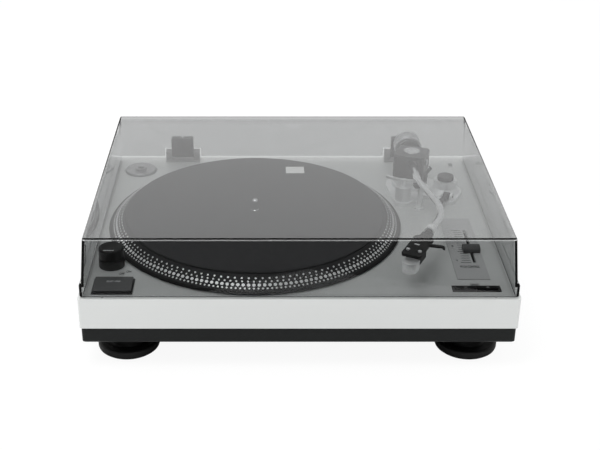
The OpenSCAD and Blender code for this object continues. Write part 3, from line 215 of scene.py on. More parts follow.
def see_through(name, tint, flat_tint=None, gloss_roughness=0.02, ior=1.49):
    """A clear wall: what passes is tinted at each face, more so at a flat angle, and the rest is mirrored."""
    m = new_material(name)
    t = m.node_tree
    out = add(t, "ShaderNodeOutputMaterial")
    mix = add(t, "ShaderNodeMixShader")
    # A ray inside the wall goes straight on, so its inner face mirrors as its outer one does
    side = add(t, "ShaderNodeNewGeometry")
    index = add(t, "ShaderNodeMapRange")
    index.inputs["To Min"].default_value = ior
    index.inputs["To Max"].default_value = 1 / ior
    link(t, side.outputs["Backfacing"], index.inputs["Value"])
    fresnel = add(t, "ShaderNodeFresnel")
    link(t, index.outputs["Result"], fresnel.inputs["IOR"])
    passes = add(t, "ShaderNodeBsdfTransparent")
    passes.inputs["Color"].default_value = (*tint, 1)
    if flat_tint:
        angle = add(t, "ShaderNodeLayerWeight", Blend=0.5)
        depth = add(t, "ShaderNodeMapRange")
        depth.inputs["From Min"].default_value = 0.66
        depth.inputs["From Max"].default_value = 0.84
        link(t, angle.outputs["Facing"], depth.inputs["Value"])
        tone = add(t, "ShaderNodeMix", data_type="RGBA")
        tone.inputs["A"].default_value = (*tint, 1)
        tone.inputs["B"].default_value = (*flat_tint, 1)
        link(t, depth.outputs["Result"], tone.inputs["Factor"])
        link(t, tone.outputs["Result"], passes.inputs["Color"])
    mirrors = add(t, "ShaderNodeBsdfGlossy", Roughness=gloss_roughness)
    mirrors.inputs["Color"].default_value = (1, 1, 1, 1)
    link(t, fresnel.outputs["Fac"], mix.inputs["Fac"])
    link(t, passes.outputs["BSDF"], mix.inputs[1])
    link(t, mirrors.outputs["BSDF"], mix.inputs[2])
    link(t, mix.outputs["Shader"], out.inputs["Surface"])
    return m


def frosted_glowing(name, colour, alpha, glow=0.0):
    """A pale clear moulding, more solid where seen edge on as a painted edge highlight, with an optional painted glow
    from emission.
    """
    m = new_material(name)
    t = m.node_tree
    out = add(t, "ShaderNodeOutputMaterial")
    # Painted glow: emission that brightens the moulding, though it is no lamp
    p = add(t, "ShaderNodeBsdfPrincipled", Roughness=0.14, Emission_Strength=glow)
    p.inputs["Emission Color"].default_value = (*colour, 1)
    g = add(t, "ShaderNodeGroup", node_tree=GRAIN)
    g.inputs["Colour"].default_value = (*colour, 1)
    g.inputs["Variation"].default_value = 0.05
    # Painted edge highlight: the pale moulding grows more solid where it is seen edge on
    angle = add(t, "ShaderNodeLayerWeight", Blend=0.4)
    cover = add(t, "ShaderNodeMapRange")
    cover.inputs["To Min"].default_value = alpha
    cover.inputs["To Max"].default_value = min(1.0, 4 * alpha)
    link(t, angle.outputs["Facing"], cover.inputs["Value"])
    link(t, cover.outputs["Result"], p.inputs["Alpha"])
    link(t, g.outputs["Colour"], p.inputs["Base Color"])
    link(t, p.outputs["BSDF"], out.inputs["Surface"])
    return m


def felt_material():
    m = new_material("pressed_felt")
    t = m.node_tree
    out = add(t, "ShaderNodeOutputMaterial")
    p = add(t, "ShaderNodeBsdfPrincipled", Roughness=0.95, Sheen_Weight=0.04, Sheen_Roughness=0.5)
    p.inputs["Specular IOR Level"].default_value = 0.1
    where = add(t, "ShaderNodeTexCoord")
    fibres = add(t, "ShaderNodeTexNoise", Scale=1400.0, Detail=3.0, Roughness=0.7)
    tufts = add(t, "ShaderNodeTexNoise", Scale=160.0, Detail=4.0, Roughness=0.6)
    for n in (fibres, tufts):
        link(t, where.outputs["Object"], n.inputs["Vector"])
    both = add(t, "ShaderNodeMath", operation="MULTIPLY_ADD")
    link(t, tufts.outputs["Fac"], both.inputs[0])
    both.inputs[1].default_value = 0.6
    link(t, fibres.outputs["Fac"], both.inputs[2])
    ramp = add(t, "ShaderNodeValToRGB")
    ramp.color_ramp.elements[0].position = 0.45
    ramp.color_ramp.elements[0].color = (0.036, 0.036, 0.037, 1)
    ramp.color_ramp.elements[1].position = 1.15
    ramp.color_ramp.elements[1].color = (0.054, 0.054, 0.056, 1)
    link(t, both.outputs[0], ramp.inputs["Fac"])
    b = add(t, "ShaderNodeBump", Strength=0.25, Distance=0.0005)
    link(t, both.outputs[0], b.inputs["Height"])
    link(t, ramp.outputs["Color"], p.inputs["Base Color"])
    link(t, b.outputs["Normal"], p.inputs["Normal"])
    link(t, p.outputs["BSDF"], out.inputs["Surface"])
    return m


SILVER = surface("silver_lacquer", (0.60, 0.612, 0.605), 0.38, metallic=0.15, grain=2600.0, cloud=6.0, variation=0.03,
                 bump=0.00008, coat=0.25)
BASE_BLACK = surface("base_black", (0.009, 0.010, 0.010), 0.45, grain=1500.0, variation=0.12, bump=0.0002,
                     specular=0.12)
FOOT_RUBBER = surface("foot_rubber", (0.004, 0.004, 0.004), 0.5, grain=1100.0, variation=0.15, bump=0.0003,
                      specular=0.18)
BLACK = surface("moulded_black", (0.012, 0.012, 0.012), 0.4, grain=1800.0, variation=0.12, bump=0.0002)
KNOB_BLACK = surface("knob_black", (0.005, 0.005, 0.005), 0.3, grain=2400.0, variation=0.1, bump=0.00004, specular=0.25)
GLOSS_BLACK = surface("gimbal_black", (0.020, 0.020, 0.020), 0.26, grain=2400.0, variation=0.1, bump=0.00005, coat=0.15)
HEAD_BLACK = surface("head_black", (0.007, 0.007, 0.007), 0.45, grain=2400.0, variation=0.1, bump=0.00005, specular=0.3)
START_GREY = surface("start_grey", (0.085, 0.086, 0.087), 0.4, grain=1800.0, variation=0.08, bump=0.0001)
KEY_BLACK = surface("key_black", (0.012, 0.012, 0.012), 0.6, grain=1800.0, variation=0.1, bump=0.0001, specular=0.0)
HEAD_SCREW = surface("head_screw", (0.86, 0.865, 0.87), 0.35, metallic=0.4, grain=2200.0, variation=0.05, bump=0.00003)
SLIDER_GREY = surface("slider_grey", (0.072, 0.072, 0.073), 0.42, grain=1800.0, variation=0.1, bump=0.0001)
BRACKET_GREY = surface("bracket_grey", (0.30, 0.30, 0.30), 0.45, grain=1800.0, variation=0.1, bump=0.0002)
PAD_GREY = surface("pad_grey", (0.22, 0.22, 0.22), 0.5, grain=1800.0, variation=0.1, bump=0.0001)
PANEL_GREY = surface("panel_grey", (0.46, 0.465, 0.465), 0.45, grain=2000.0, variation=0.04, bump=0.00005)
ARM_SILVER = surface("arm_silver", (0.86, 0.865, 0.87), 0.3, metallic=0.35, grain=2600.0, cloud=9.0, variation=0.04,
                     bump=0.00006)
CHROME = surface("bright_chrome", (0.90, 0.905, 0.91), 0.14, metallic=1.0, grain=3000.0, cloud=12.0, variation=0.03,
                 bump=0.00002)
STEEL = surface("screw_steel", (0.56, 0.56, 0.57), 0.3, metallic=1.0, grain=2200.0, variation=0.06, bump=0.00005)
BRASS = surface("turned_brass", (0.62, 0.46, 0.20), 0.3, metallic=1.0, grain=2200.0, variation=0.06, bump=0.00005)
BOARD = surface("board_lacquer", (0.02, 0.14, 0.05), 0.35, grain=1200.0, variation=0.1, bump=0.0001)
CORE = surface("varnished_core", (0.14, 0.12, 0.10), 0.5, grain=900.0, variation=0.15, bump=0.0003)
PRINT_BLACK = surface("print_black", (0.02, 0.02, 0.02), 0.6, grain=2600.0, variation=0.1, bump=0.00002)
# Pale print, also used for a painted highlight line on the power knob
PALE_PRINT_AND_HIGHLIGHT = surface("pale_print_and_highlight", (0.62, 0.63, 0.63), 0.55, grain=2600.0, variation=0.05, bump=0.00002)
LABEL_WHITE = surface("label_white", (0.93, 0.93, 0.92), 0.3, grain=2600.0, variation=0.03, bump=0.00005, coat=0.5)
SOCKET_RED = surface("socket_red", (0.45, 0.02, 0.02), 0.4, grain=2000.0, variation=0.08, bump=0.00005)
STYLUS_GREY = surface("stylus_grey", (0.16, 0.16, 0.16), 0.4, grain=2000.0, variation=0.08, bump=0.00005)
PLATTER_DARK = turned("platter_dark", (0.029, 0.029, 0.030), 0.5, SPINDLE, pitch=420.0, metallic=0.1, specular=0.15)
LIP_BLACK = turned("lip_black", (0.007, 0.007, 0.007), 0.55, SPINDLE, pitch=420.0, metallic=0.0, specular=0.1)
DOT_BRIGHT = surface("dot_bright", (0.95, 0.955, 0.955), 0.42, metallic=0.85, grain=3000.0, variation=0.03,
                     bump=0.00002)
ADAPTER = turned("adapter_alloy", (0.44, 0.44, 0.45), 0.3, ADAPTER_AT, pitch=500.0)
SPINDLE_METAL = turned("spindle_metal", (0.80, 0.80, 0.81), 0.16, SPINDLE, pitch=1400.0)
WEIGHT_METAL = turned("weight_metal", (0.52, 0.52, 0.53), 0.3, TUBE_AXIS, turn=(math.pi / 2, 0, 0), pitch=500.0)
SMOKE = see_through("smoked_acrylic", (0.74, 0.745, 0.745), flat_tint=(0.62, 0.625, 0.625))
# Painted shade: an opaque near-black finish on the cover's edges, corners and a strip along the front of the top, where
# clear acrylic looks dark seen end on
EDGE_SHADE_PAINTED = surface("painted_edge_shade", (0.008, 0.008, 0.008), 0.35, grain=2400.0, variation=0.1, bump=0.00002,
                     specular=0.0)
# Painted shade: a darker tint for the border of the top, standing in for the walls seen end on there
SMOKE_BORDER_SHADE = see_through("smoked_border_shade", (0.55, 0.553, 0.553))
SMOKE_BAND = see_through("smoked_band", (0.74, 0.745, 0.745), ior=1.15)
# Painted glow: a pale rim with emission, though it is no lamp, for the bright line where light leaves the lid's rear
# edge
RIM_GLOW_PAINTED = frosted_glowing("painted_rim_glow", (0.92, 0.93, 0.93), 0.6, glow=0.25)
# Painted highlight: a pale line along the cover's front top edge, with a painted dark strip behind it
FRONT_GLINT_PAINTED = frosted_glowing("painted_glint", (0.92, 0.93, 0.93), 0.12)
# Painted glow: the stylus guard and the lid bumpers give off a little light, though they are no lamp
CLEAR_GLOWING = frosted_glowing("clear_guard_glowing", (0.95, 0.96, 0.96), 0.22, glow=0.12)
RED_LENS = see_through("red_lens", (0.35, 0.03, 0.02), gloss_roughness=0.05)
FELT = felt_material()


# Meshes


def finish_piece(name, bm, body, materials, replaces=(), sharp=38):
    mesh = bpy.data.meshes.new(name)
    bm.to_mesh(mesh)
    bm.free()
    for m in materials:
        mesh.materials.append(m)
    mesh.polygons.foreach_set("use_smooth", [True] * len(mesh.polygons))
    mesh.set_sharp_from_angle(angle=math.radians(sharp))
    o = bpy.data.objects.new(name, mesh)
    bpy.context.scene.collection.objects.link(o)
    # Flat faces stay flat beside their rounded edges
    w = o.modifiers.new("flat_faces", "WEIGHTED_NORMAL")
    w.keep_sharp = True
    w.weight = 100
    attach(o, body)
    if replaces:
        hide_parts(*replaces)
    return o


def dress(node, material):
    """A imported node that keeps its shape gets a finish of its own."""
    o = NODES[node]
    o.data.materials.clear()
    o.data.materials.append(material)


def packed(node):
    """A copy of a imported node's mesh, with each flat face in one piece."""
    bm = bmesh.new()
    bm.from_mesh(NODES[node].data)
    bmesh.ops.remove_doubles(bm, verts=bm.verts[:], dist=2e-6)
    bmesh.ops.dissolve_limit(bm, angle_limit=math.radians(0.3), verts=bm.verts[:], edges=bm.edges[:])
    return bm


def rounded(bm, width, segments, angle):
    """Rounds every edge that is sharper than the angle, by a width in millimetres."""
    edges = [e for e in bm.edges if e.is_manifold and e.calc_face_angle(0) > math.radians(angle)]
    bmesh.ops.bevel(bm, geom=edges, offset=width * MM, offset_type="OFFSET", segments=segments, profile=0.5,
                    affect="EDGES", material=-1, clamp_overlap=True)
    return bm


def softened(node, width, segments=2, angle=35.0):
    """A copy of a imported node, with its edges rounded by a width in millimetres."""
    return rounded(packed(node), width, segments, angle)


def lathe(points, centre, steps=96, axis=(0, 0, 1)):
    """Turns a line of (radius, height) points, in millimetres, about an axis through a centre."""
    bm = bmesh.new()
    out = Vector(axis).orthogonal().normalized()
    up = Vector(axis)
    verts = [bm.verts.new(Vector(centre) + out * (r * MM) + up * (z * MM)) for r, z in points]
    edges = [bm.edges.new(pair) for pair in zip(verts, verts[1:])]
    bmesh.ops.spin(bm, geom=verts + edges, cent=centre, axis=axis, angle=math.tau, steps=steps, use_merge=True,
                   use_normal_flip=False)
    bmesh.ops.remove_doubles(bm, verts=bm.verts[:], dist=1e-6)
    bmesh.ops.recalc_face_normals(bm, faces=bm.faces[:])
    return bm


def slab(bm, size, centre, bevel=0.0, segments=2):
    """A box of that size, in millimetres, with rounded edges; the centre is in metres."""
    made = bmesh.ops.create_cube(bm, size=1.0)
    verts = made["verts"]
    bmesh.ops.scale(bm, vec=Vector(size) * MM, verts=verts)
    bmesh.ops.translate(bm, vec=centre, verts=verts)
    if bevel:
        edges = list(dict.fromkeys(e for v in verts for e in v.link_edges))
        made = bmesh.ops.bevel(bm, geom=edges, offset=bevel * MM, offset_type="OFFSET", segments=segments,
                               profile=0.5, affect="EDGES", material=-1, clamp_overlap=True)
        verts = list(dict.fromkeys([v for f in made["faces"] for v in f.verts] + [v for v in verts if v.is_valid]))
    return verts


def prism(outline, across):
    """A flat outline of points, drawn out to a solid along a vector."""
    bm = bmesh.new()
    face = bm.faces.new([bm.verts.new(p) for p in outline])
    made = bmesh.ops.extrude_face_region(bm, geom=[face])
    bmesh.ops.translate(bm, vec=across, verts=[g for g in made["geom"] if isinstance(g, bmesh.types.BMVert)])
    bmesh.ops.recalc_face_normals(bm, faces=bm.faces[:])
    return bm


def knurl(bm, centre, axis, steps, depth, low, high, least):
    """Draws in every second meridian of a turned band, between two heights and outside a radius."""
    up = Vector(axis)
    out = up.orthogonal().normalized()
    side = up.cross(out)
    for v in bm.verts:
        reach = v.co - Vector(centre)
        h = reach.dot(up)
        flat = reach - up * h
        if low * MM <= h <= high * MM and flat.length >= least * MM:
            turn = math.atan2(flat.dot(side), flat.dot(out)) / math.tau * steps
            if round(turn) % 2:
                v.co -= flat.normalized() * depth * MM


def print_words(name, words, size, place, body, material, tall=1.7):
    """Flat printed words that read from the front, in tall bold letters."""
    curve = bpy.data.curves.new(name, "FONT")
    curve.body = words
    curve.size = size * MM
    curve.offset = 0.03 * size * MM
    curve.extrude = 0.04 * MM
    curve.align_x, curve.align_y = "CENTER", "CENTER"
    o = bpy.data.objects.new(name, curve)
    bpy.context.scene.collection.objects.link(o)
    bpy.context.view_layer.update()
    mesh = bpy.data.meshes.new_from_object(o.evaluated_get(bpy.context.evaluated_depsgraph_get()))
    bpy.data.objects.remove(o)
    bm = bmesh.new()
    bm.from_mesh(mesh)
    bpy.data.meshes.remove(mesh)
    bmesh.ops.remove_doubles(bm, verts=bm.verts[:], dist=1e-7)
    bmesh.ops.scale(bm, vec=(1, tall, 1), verts=bm.verts[:])
    bmesh.ops.translate(bm, vec=place, verts=bm.verts[:])
    finish_piece(name, bm, body, [material])


def on_head(u, side, h):
    """A point of the head, from its distance along the head, to its right and over the deck, in millimetres."""
    p = Matrix.Rotation(HEAD_TURN, 4, "Z") @ Vector((side * MM, -u * MM, 0))
    return Vector((HEAD_AT.x + p.x, HEAD_AT.y + p.y, DECK + h * MM))


# Plinth

finish_piece("cabinet_shell", softened("cabinet", 0.5, 3), "chassis", [SILVER], ["cabinet"])
finish_piece("base_shell", softened("base_pan", 0.8), "chassis", [BASE_BLACK], ["base_pan"])

for foot in ("foot_front_left", "foot_front_right", "foot_rear_left", "foot_rear_right"):
    low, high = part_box(foot)
    at = Vector(((low.x + high.x) / 2, (low.y + high.y) / 2, 0))
    profile = [(4.6, 0), (27, 0), (28, 0.8), (30.5, 0.8), (32.4, 2.4), (33, 4), (33, 8.6), (32.6, 9.8), (31.4, 10.6),
               (29.5, 10.8), (24, 9.6), (21.5, 9.2), (20, 9.8), (19, 11.2), (19, 16), (18.4, 16.6), (18.4, 17.6),
               (19, 18.2), (19, 29.4), (18.6, 30), (4.6, 30), (4.6, 0)]
    finish_piece(foot + "_turned", lathe(profile, at, 96), "chassis", [FOOT_RUBBER], [foot])

# Platter, mat and spindle

PLATTER_RIM = [(4.15, 12), (4.15, 15), (147.4, 15), (148.2, 14.85), (163.2, 3.5), (164.2, 3.05), (165.5, 2.65),
               (166, 2.2), (166, 1.5), (165.7, 1.2), (160.5, 1.2), (145, 12), (95, 12), (95, 1.2), (92, 1.2),
               (92, 12), (4.15, 12)]
bm = lathe(PLATTER_RIM, SPINDLE, 256)
for f in bm.faces:
    f.material_index = 1 if (f.calc_center_median() - SPINDLE).xy.length > 163.3 * MM else 0
finish_piece("platter_cast", bm, "turning_platter", [PLATTER_DARK, LIP_BLACK], ["platter"])

SLOPE_TOP, SLOPE_LOW = Vector((148, 0, 15)), Vector((163.5, 0, 3.3))
# Share of the slope, number of dots and radius of a dot, in millimetres
DOT_ROWS = ((0.22, 133, 1.1), (0.41, 160, 1.05), (0.61, 180, 1.85), (0.81, 216, 1.1))
slope = (SLOPE_LOW - SLOPE_TOP).normalized()
slope_out = Vector((-slope.z, 0, slope.x))
for row, (share, count, radius) in enumerate(DOT_ROWS, 1):
    bm = bmesh.new()
    made = bmesh.ops.create_cone(bm, cap_ends=True, segments=12, radius1=radius * MM, radius2=radius * 0.8 * MM,
                                 depth=0.3 * MM)
    tilt = Vector((0, 0, 1)).rotation_difference(slope_out).to_matrix()
    bmesh.ops.rotate(bm, cent=(0, 0, 0), matrix=tilt, verts=made["verts"])
    place = SLOPE_TOP + (SLOPE_LOW - SLOPE_TOP) * share + slope_out * 0.1
    bmesh.ops.translate(bm, vec=SPINDLE + place * MM, verts=made["verts"])
    bmesh.ops.spin(bm, geom=bm.faces[:], cent=SPINDLE, axis=(0, 0, 1), angle=math.tau, steps=count, use_duplicate=True)
    bmesh.ops.remove_doubles(bm, verts=bm.verts[:], dist=1e-6)
    finish_piece(f"strobe_dots_{row}", bm, "turning_platter", [DOT_BRIGHT])

mat = finish_piece("felt_slipmat", lathe([(4.2, 15.05), (146.0, 15.05), (146.5, 15.5), (146.5, 16.5), (145.9, 17.05),
                                          (144.8, 17.2), (60, 17.2), (4.4, 17.2), (4.2, 17.0), (4.2, 15.05)],
                                         SPINDLE, 192), "turning_platter", [FELT], ["slipmat"])
bm = bmesh.new()
slab(bm, (22.5, 19, 0.25), Vector((2 * MM, 101.5 * MM, MAT_TOP + 0.13 * MM)), 0.1, 1)
finish_piece("mat_label", bm, "turning_platter", [LABEL_WHITE])

finish_piece("spindle_pin", lathe([(0, -14.9), (4, -14.9), (4, 8.5), (8, 8.5), (8, 12), (4, 12), (4, 17.0), (3.8, 17.2),
                                   (3.6, 17.3), (3.6, 26.2), (3.5, 27.6), (3.0, 28.9), (2.0, 29.6), (0, 29.7)],
                                  SPINDLE, 48), "turning_platter", [SPINDLE_METAL], ["spindle"])

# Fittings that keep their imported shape

for node, material in {
    "case_screws": STEEL, "bearing_housing": BRASS, "thrust_ball": STEEL, "motor": STEEL, "motor_grommets": FOOT_RUBBER,
    "motor_screws": STEEL, "drive_belt": FOOT_RUBBER, "motor_pulley": BRASS, "control_board": BOARD,
    "tact_switches": BLACK, "transformer": CORE, "pitch_fader": BLACK, "rotary_switch": BLACK, "hinge_pins": STEEL,
    "lid_bumpers": CLEAR_GLOWING, "strobe_lens": RED_LENS, "pivot_screws": STEEL,
    "phono_sockets": BRASS, "ground_post": STEEL, "socket_plate": BLACK, "mains_gland": BLACK,
    "stylus": STYLUS_GREY,
}.items():
    dress(node, material)

# Controls

for name, node, body, width, material, slot in (
    ("start_frame", "start_bezel", "chassis", 0.5, BLACK, "black_plastic"),
    ("start_key_cap", "start_button", "start_key", 0.5, START_GREY, "button_grey"),
    ("speed_frame", "speed_bezel", "chassis", 0.4, HEAD_BLACK, "black_plastic"),
    ("speed_key_33", "button_33", "key_33", 0.5, KEY_BLACK, "button_grey"),
    ("speed_key_45", "button_45", "key_45", 0.5, KEY_BLACK, "button_grey"),
    ("strobe_drum", "strobe_housing", "chassis", 0.6, BLACK, "black_plastic"),
    ("power_knob_cap", "power_knob", "power_dial", 1.1, KNOB_BLACK, "knob_black"),
    ("pitch_plate", "pitch_panel", "chassis", 0.25, PANEL_GREY, "panel_grey"),
    ("arm_plate", "arm_base", "chassis", 0.5, ARM_SILVER, "arm_silver"),
    ("cradle_latch", "rest_latch", "arm_latch", 0.3, BLACK, "black_plastic"),
    ("lift_bar", "cue_lift", "lift_arm", 0.5, ARM_SILVER, "arm_silver"),
    ("lift_handle", "cue_lever", "lift_lever", 0.5, BLACK, "black_plastic"),
    ("hinge_leaf", "hinge_brackets", "chassis", 0.4, BRACKET_GREY, "black_plastic"),
    ("gimbal_block", "arm_yoke", "gimbal", 1.0, GLOSS_BLACK, "gimbal_black"),
    ("gimbal_top", "yoke_cover", "gimbal", 1.2, GLOSS_BLACK, "gimbal_black"),
    ("gimbal_cap", "pivot_cap", "gimbal", 0.4, CHROME, "bright_chrome"),
    ("arm_pipe", "arm_tube", "tonearm", 0.4, CHROME, "bright_chrome"),
    ("head_plate", "headshell", "tonearm", 0.4, HEAD_BLACK, "head_black"),
    ("cartridge_body", "cartridge", "tonearm", 0.6, HEAD_BLACK, "head_black"),
    ("force_ring_dial", "force_dial", "force_ring", 0.5, BLACK, "black_plastic"),
):
    finish_piece(name, softened(node, width), body, [material], [node])

# Printing on the deck and the keys

for name, words, x, y in (("words_off", "OFF", -185.4, -127.0), ("words_on", "ON", -178.5, -122.5),
                          ("words_speed", "SPEED", 182.3, -150.4)):
    print_words(name, words, 3.4, Vector((x * MM, y * MM, DECK + 0.05 * MM)), "chassis", PRINT_BLACK)
low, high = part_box("start_button")
print_words("words_start", "START  STOP", 2.4, Vector(((low.x + high.x) / 2, (low.y + high.y) / 2 + 4 * MM, high.z)),
            "start_key", PALE_PRINT_AND_HIGHLIGHT)
for speed in ("33", "45"):
    low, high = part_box("button_" + speed)
    print_words("words_" + speed, speed, 3.2, Vector(((low.x + high.x) / 2, (low.y + high.y) / 2, high.z)),
                "key_" + speed, PAD_GREY, 1.2)

# Pitch panel

PANEL_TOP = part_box("pitch_panel")[1].z
slider_low, slider_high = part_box("pitch_slider")
SLOT_X = (slider_low.x + slider_high.x) / 2
bm = bmesh.new()
for step in range(16):
    slab(bm, (11 if step % 5 == 0 else 9, 1.0, 0.06),
         Vector((SLOT_X - (9.5 if step % 5 == 0 else 8.5) * MM, (-104 + 5 * step) * MM, PANEL_TOP + 0.02 * MM)))
finish_piece("pitch_ticks", bm, "chassis", [PRINT_BLACK])
for name, words, y in (("pitch_plus", "+", -99), ("pitch_zero", "0", -66.5), ("pitch_minus", "-", -34)):
    print_words(name, words, 4.0, Vector((SLOT_X - 18.5 * MM, y * MM, PANEL_TOP + 0.03 * MM)), "chassis", PRINT_BLACK,
                1.3)
print_words("words_pitch", "PITCH CONTROL", 2.6, Vector((183.3 * MM, -113.4 * MM, PANEL_TOP + 0.03 * MM)), "chassis",
            PRINT_BLACK, 2.5)

# The slider's cap is a rounded bar with a groove for the fingertip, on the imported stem
slider_mid = (slider_low.y + slider_high.y) / 2
half = (slider_high.y - slider_low.y) / 2 / MM
cap_top = (slider_high.z - DECK) / MM
cap_low = (PANEL_TOP - DECK) / MM + 0.35
cap_line = [(-half, cap_low), (-half, 3.6), (-half + 0.9, 5.6), (-half + 2.3, cap_top - 0.9),
            (-half + 4.0, cap_top - 0.2), (-1.1, cap_top), (-0.5, cap_top - 0.8), (0.5, cap_top - 0.8),
            (1.1, cap_top), (half - 4.0, cap_top - 0.2), (half - 2.3, cap_top - 0.9), (half - 0.9, 5.6),
            (half, 3.6), (half, cap_low)]
bm = prism([Vector((slider_low.x, slider_mid + y * MM, DECK + h * MM)) for y, h in cap_line],
           Vector((slider_high.x - slider_low.x, 0, 0)))
rounded(bm, 0.35, 2, 40)
slab(bm, (2.4, 12, cap_low - (slider_low.z - DECK) / MM + 0.5),
     Vector((SLOT_X, slider_mid, (slider_low.z + DECK + (cap_low + 0.5) * MM) / 2)))
finish_piece("pitch_cap_block", bm, "pitch_cap", [SLIDER_GREY], ["pitch_slider"])

# A pale line on the power knob's top, drawn as a pointer and placed along the front rim as a painted highlight, and the
# small pad at the deck's rear right
knob_low, knob_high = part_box("power_knob")
bm = bmesh.new()
slab(bm, (11, 1.3, 0.12), Vector(((knob_low.x + knob_high.x) / 2 - 1.5 * MM, (knob_low.y + knob_high.y) / 2 - 8.0 * MM,
                                  knob_high.z + 0.03 * MM)), 0.03, 1)
finish_piece("power_pointer_highlight", bm, "power_dial", [PALE_PRINT_AND_HIGHLIGHT])
bm = bmesh.new()
slab(bm, (5.2, 9.0, 0.5), Vector((201.6 * MM, 155.7 * MM, DECK + 0.22 * MM)), 0.2)
finish_piece("rear_pad", bm, "chassis", [PAD_GREY])

# Single adapter

finish_piece("adapter_disc", lathe([(3.75, -2), (18.6, -2), (19.05, -1.6), (19.05, 1.6), (18.7, 2.3), (17.8, 2.75),
                                    (16.9, 2.6), (15.4, 1.5), (8.6, 1.1), (7.4, 1.6), (6.9, 3.9), (6.4, 4.4),
                                    (5.6, 4.5), (4.5, 4.35), (3.75, 3.6), (3.75, -2)], ADAPTER_AT, 96),
             "single_adapter", [ADAPTER], ["adapter_45"])

# Arm rest: a bright post under a black cradle

bm = softened("arm_rest", 0.4)
for f in bm.faces:
    f.material_index = 1 if f.calc_center_median().z < DECK + 26 * MM else 0
finish_piece("arm_cradle", bm, "chassis", [BLACK, ARM_SILVER], ["arm_rest"])

# Anti-skate dial and its scale

bm = lathe([(0, 4.5), (3, 4.5), (3, 18.85), (9.4, 18.85), (9.7, 19.1), (9.7, 22.9), (9.4, 23.6), (8.7, 23.9), (7.6, 24),
            (0, 24)], DIAL_AT, 96)
knurl(bm, DIAL_AT, (0, 0, 1), 96, 0.25, 19.0, 23.0, 9.5)
finish_piece("skate_dial", bm, "skate_knob", [BLACK], ["antiskate_dial"], 25)
bm = bmesh.new()
slab(bm, (0.7, 4.0, 0.12), DIAL_AT + Vector((0, -6.4 * MM, 24 * MM)))
finish_piece("skate_pointer", bm, "skate_knob", [PAD_GREY])
bm = bmesh.new()
made = slab(bm, (0.5, 2.4, 0.08), DIAL_AT + Vector((0, -11.7 * MM, 18.5 * MM)))
bmesh.ops.rotate(bm, cent=DIAL_AT, matrix=Matrix.Rotation(math.radians(-150), 3, "Z"), verts=made)
bmesh.ops.spin(bm, geom=bm.faces[:], cent=DIAL_AT, axis=(0, 0, 1), angle=math.radians(300), steps=10,
               use_duplicate=True)
finish_piece("skate_scale", bm, "chassis", [PRINT_BLACK])

# Head: collar, screws and guard

along = (on_head(1, 0, 37) - on_head(0, 0, 37)).normalized()
bm = lathe([(4.15, -6.8), (5.0, -7), (5.5, -6.6), (5.8, -5.6), (5.8, -2.6), (5.3, -2.2), (5.3, -1.6), (5.8, -1.2),
            (5.8, 2.2), (5.5, 2.8), (5.0, 3), (4.15, 3), (4.15, -6.8)], HEAD_AT, 72, along)
knurl(bm, HEAD_AT, along, 72, 0.3, -5.7, 2.3, 5.5)
finish_piece("collar_ring", bm, "head_collar", [HEAD_SCREW], ["locking_collar"], 25)
for name, side in (("head_screw_left", -6.35), ("head_screw_right", 6.35)):
    bm = lathe([(0, 37.6), (2.0, 37.6), (2.0, 38.7), (1.8, 39.1), (1.2, 39.3), (1.0, 38.8), (0, 38.8)],
               on_head(51, side, 0), 32)
    finish_piece(name, bm, "tonearm", [HEAD_SCREW])
bm = bmesh.new()
slab(bm, (5.4, 2.2, 0.3), Vector((0, 0, 0)), 0.12, 1)
bmesh.ops.rotate(bm, cent=(0, 0, 0), matrix=Matrix.Rotation(HEAD_TURN, 3, "Z"), verts=bm.verts[:])
bmesh.ops.translate(bm, vec=on_head(37, -1.5, 38.1), verts=bm.verts[:])
finish_piece("head_inlay", bm, "tonearm", [HEAD_SCREW])
finish_piece("guard_shell", softened("stylus_guard", 2.6, 4, 60), "needle_guard", [CLEAR_GLOWING], ["stylus_guard"])

# Counterweight with grooves and a knurled band, and the scale on the force dial

bm = lathe([(4.2, 29.4), (14.8, 29.4), (15.8, 29.9), (16.5, 30.9), (16.5, 33.4), (16.0, 33.7), (16.0, 34.3),
            (16.5, 34.6), (16.5, 44.6), (16.0, 44.9), (16.0, 45.5), (16.5, 45.8), (16.5, 49.6), (15.6, 50.9),
            (14.2, 51.35), (9.5, 51.35), (9.0, 50.6), (4.2, 50.6), (4.2, 29.4)], TUBE_AXIS, 120, (0, 1, 0))
knurl(bm, TUBE_AXIS, (0, 1, 0), 120, 0.3, 34.5, 44.7, 16.3)
finish_piece("balance_drum", bm, "balance_weight", [WEIGHT_METAL], ["counterweight"], 25)
bm = bmesh.new()
slab(bm, (0.5, 2.6, 0.12), TUBE_AXIS + Vector((0, 26.4 * MM, 14.5 * MM)))
bmesh.ops.spin(bm, geom=bm.faces[:], cent=TUBE_AXIS, axis=(0, 1, 0), angle=math.tau, steps=30, use_duplicate=True)
finish_piece("force_scale", bm, "force_ring", [PALE_PRINT_AND_HIGHLIGHT])

# Hinges: a chamfered block with a notched top on a knuckle

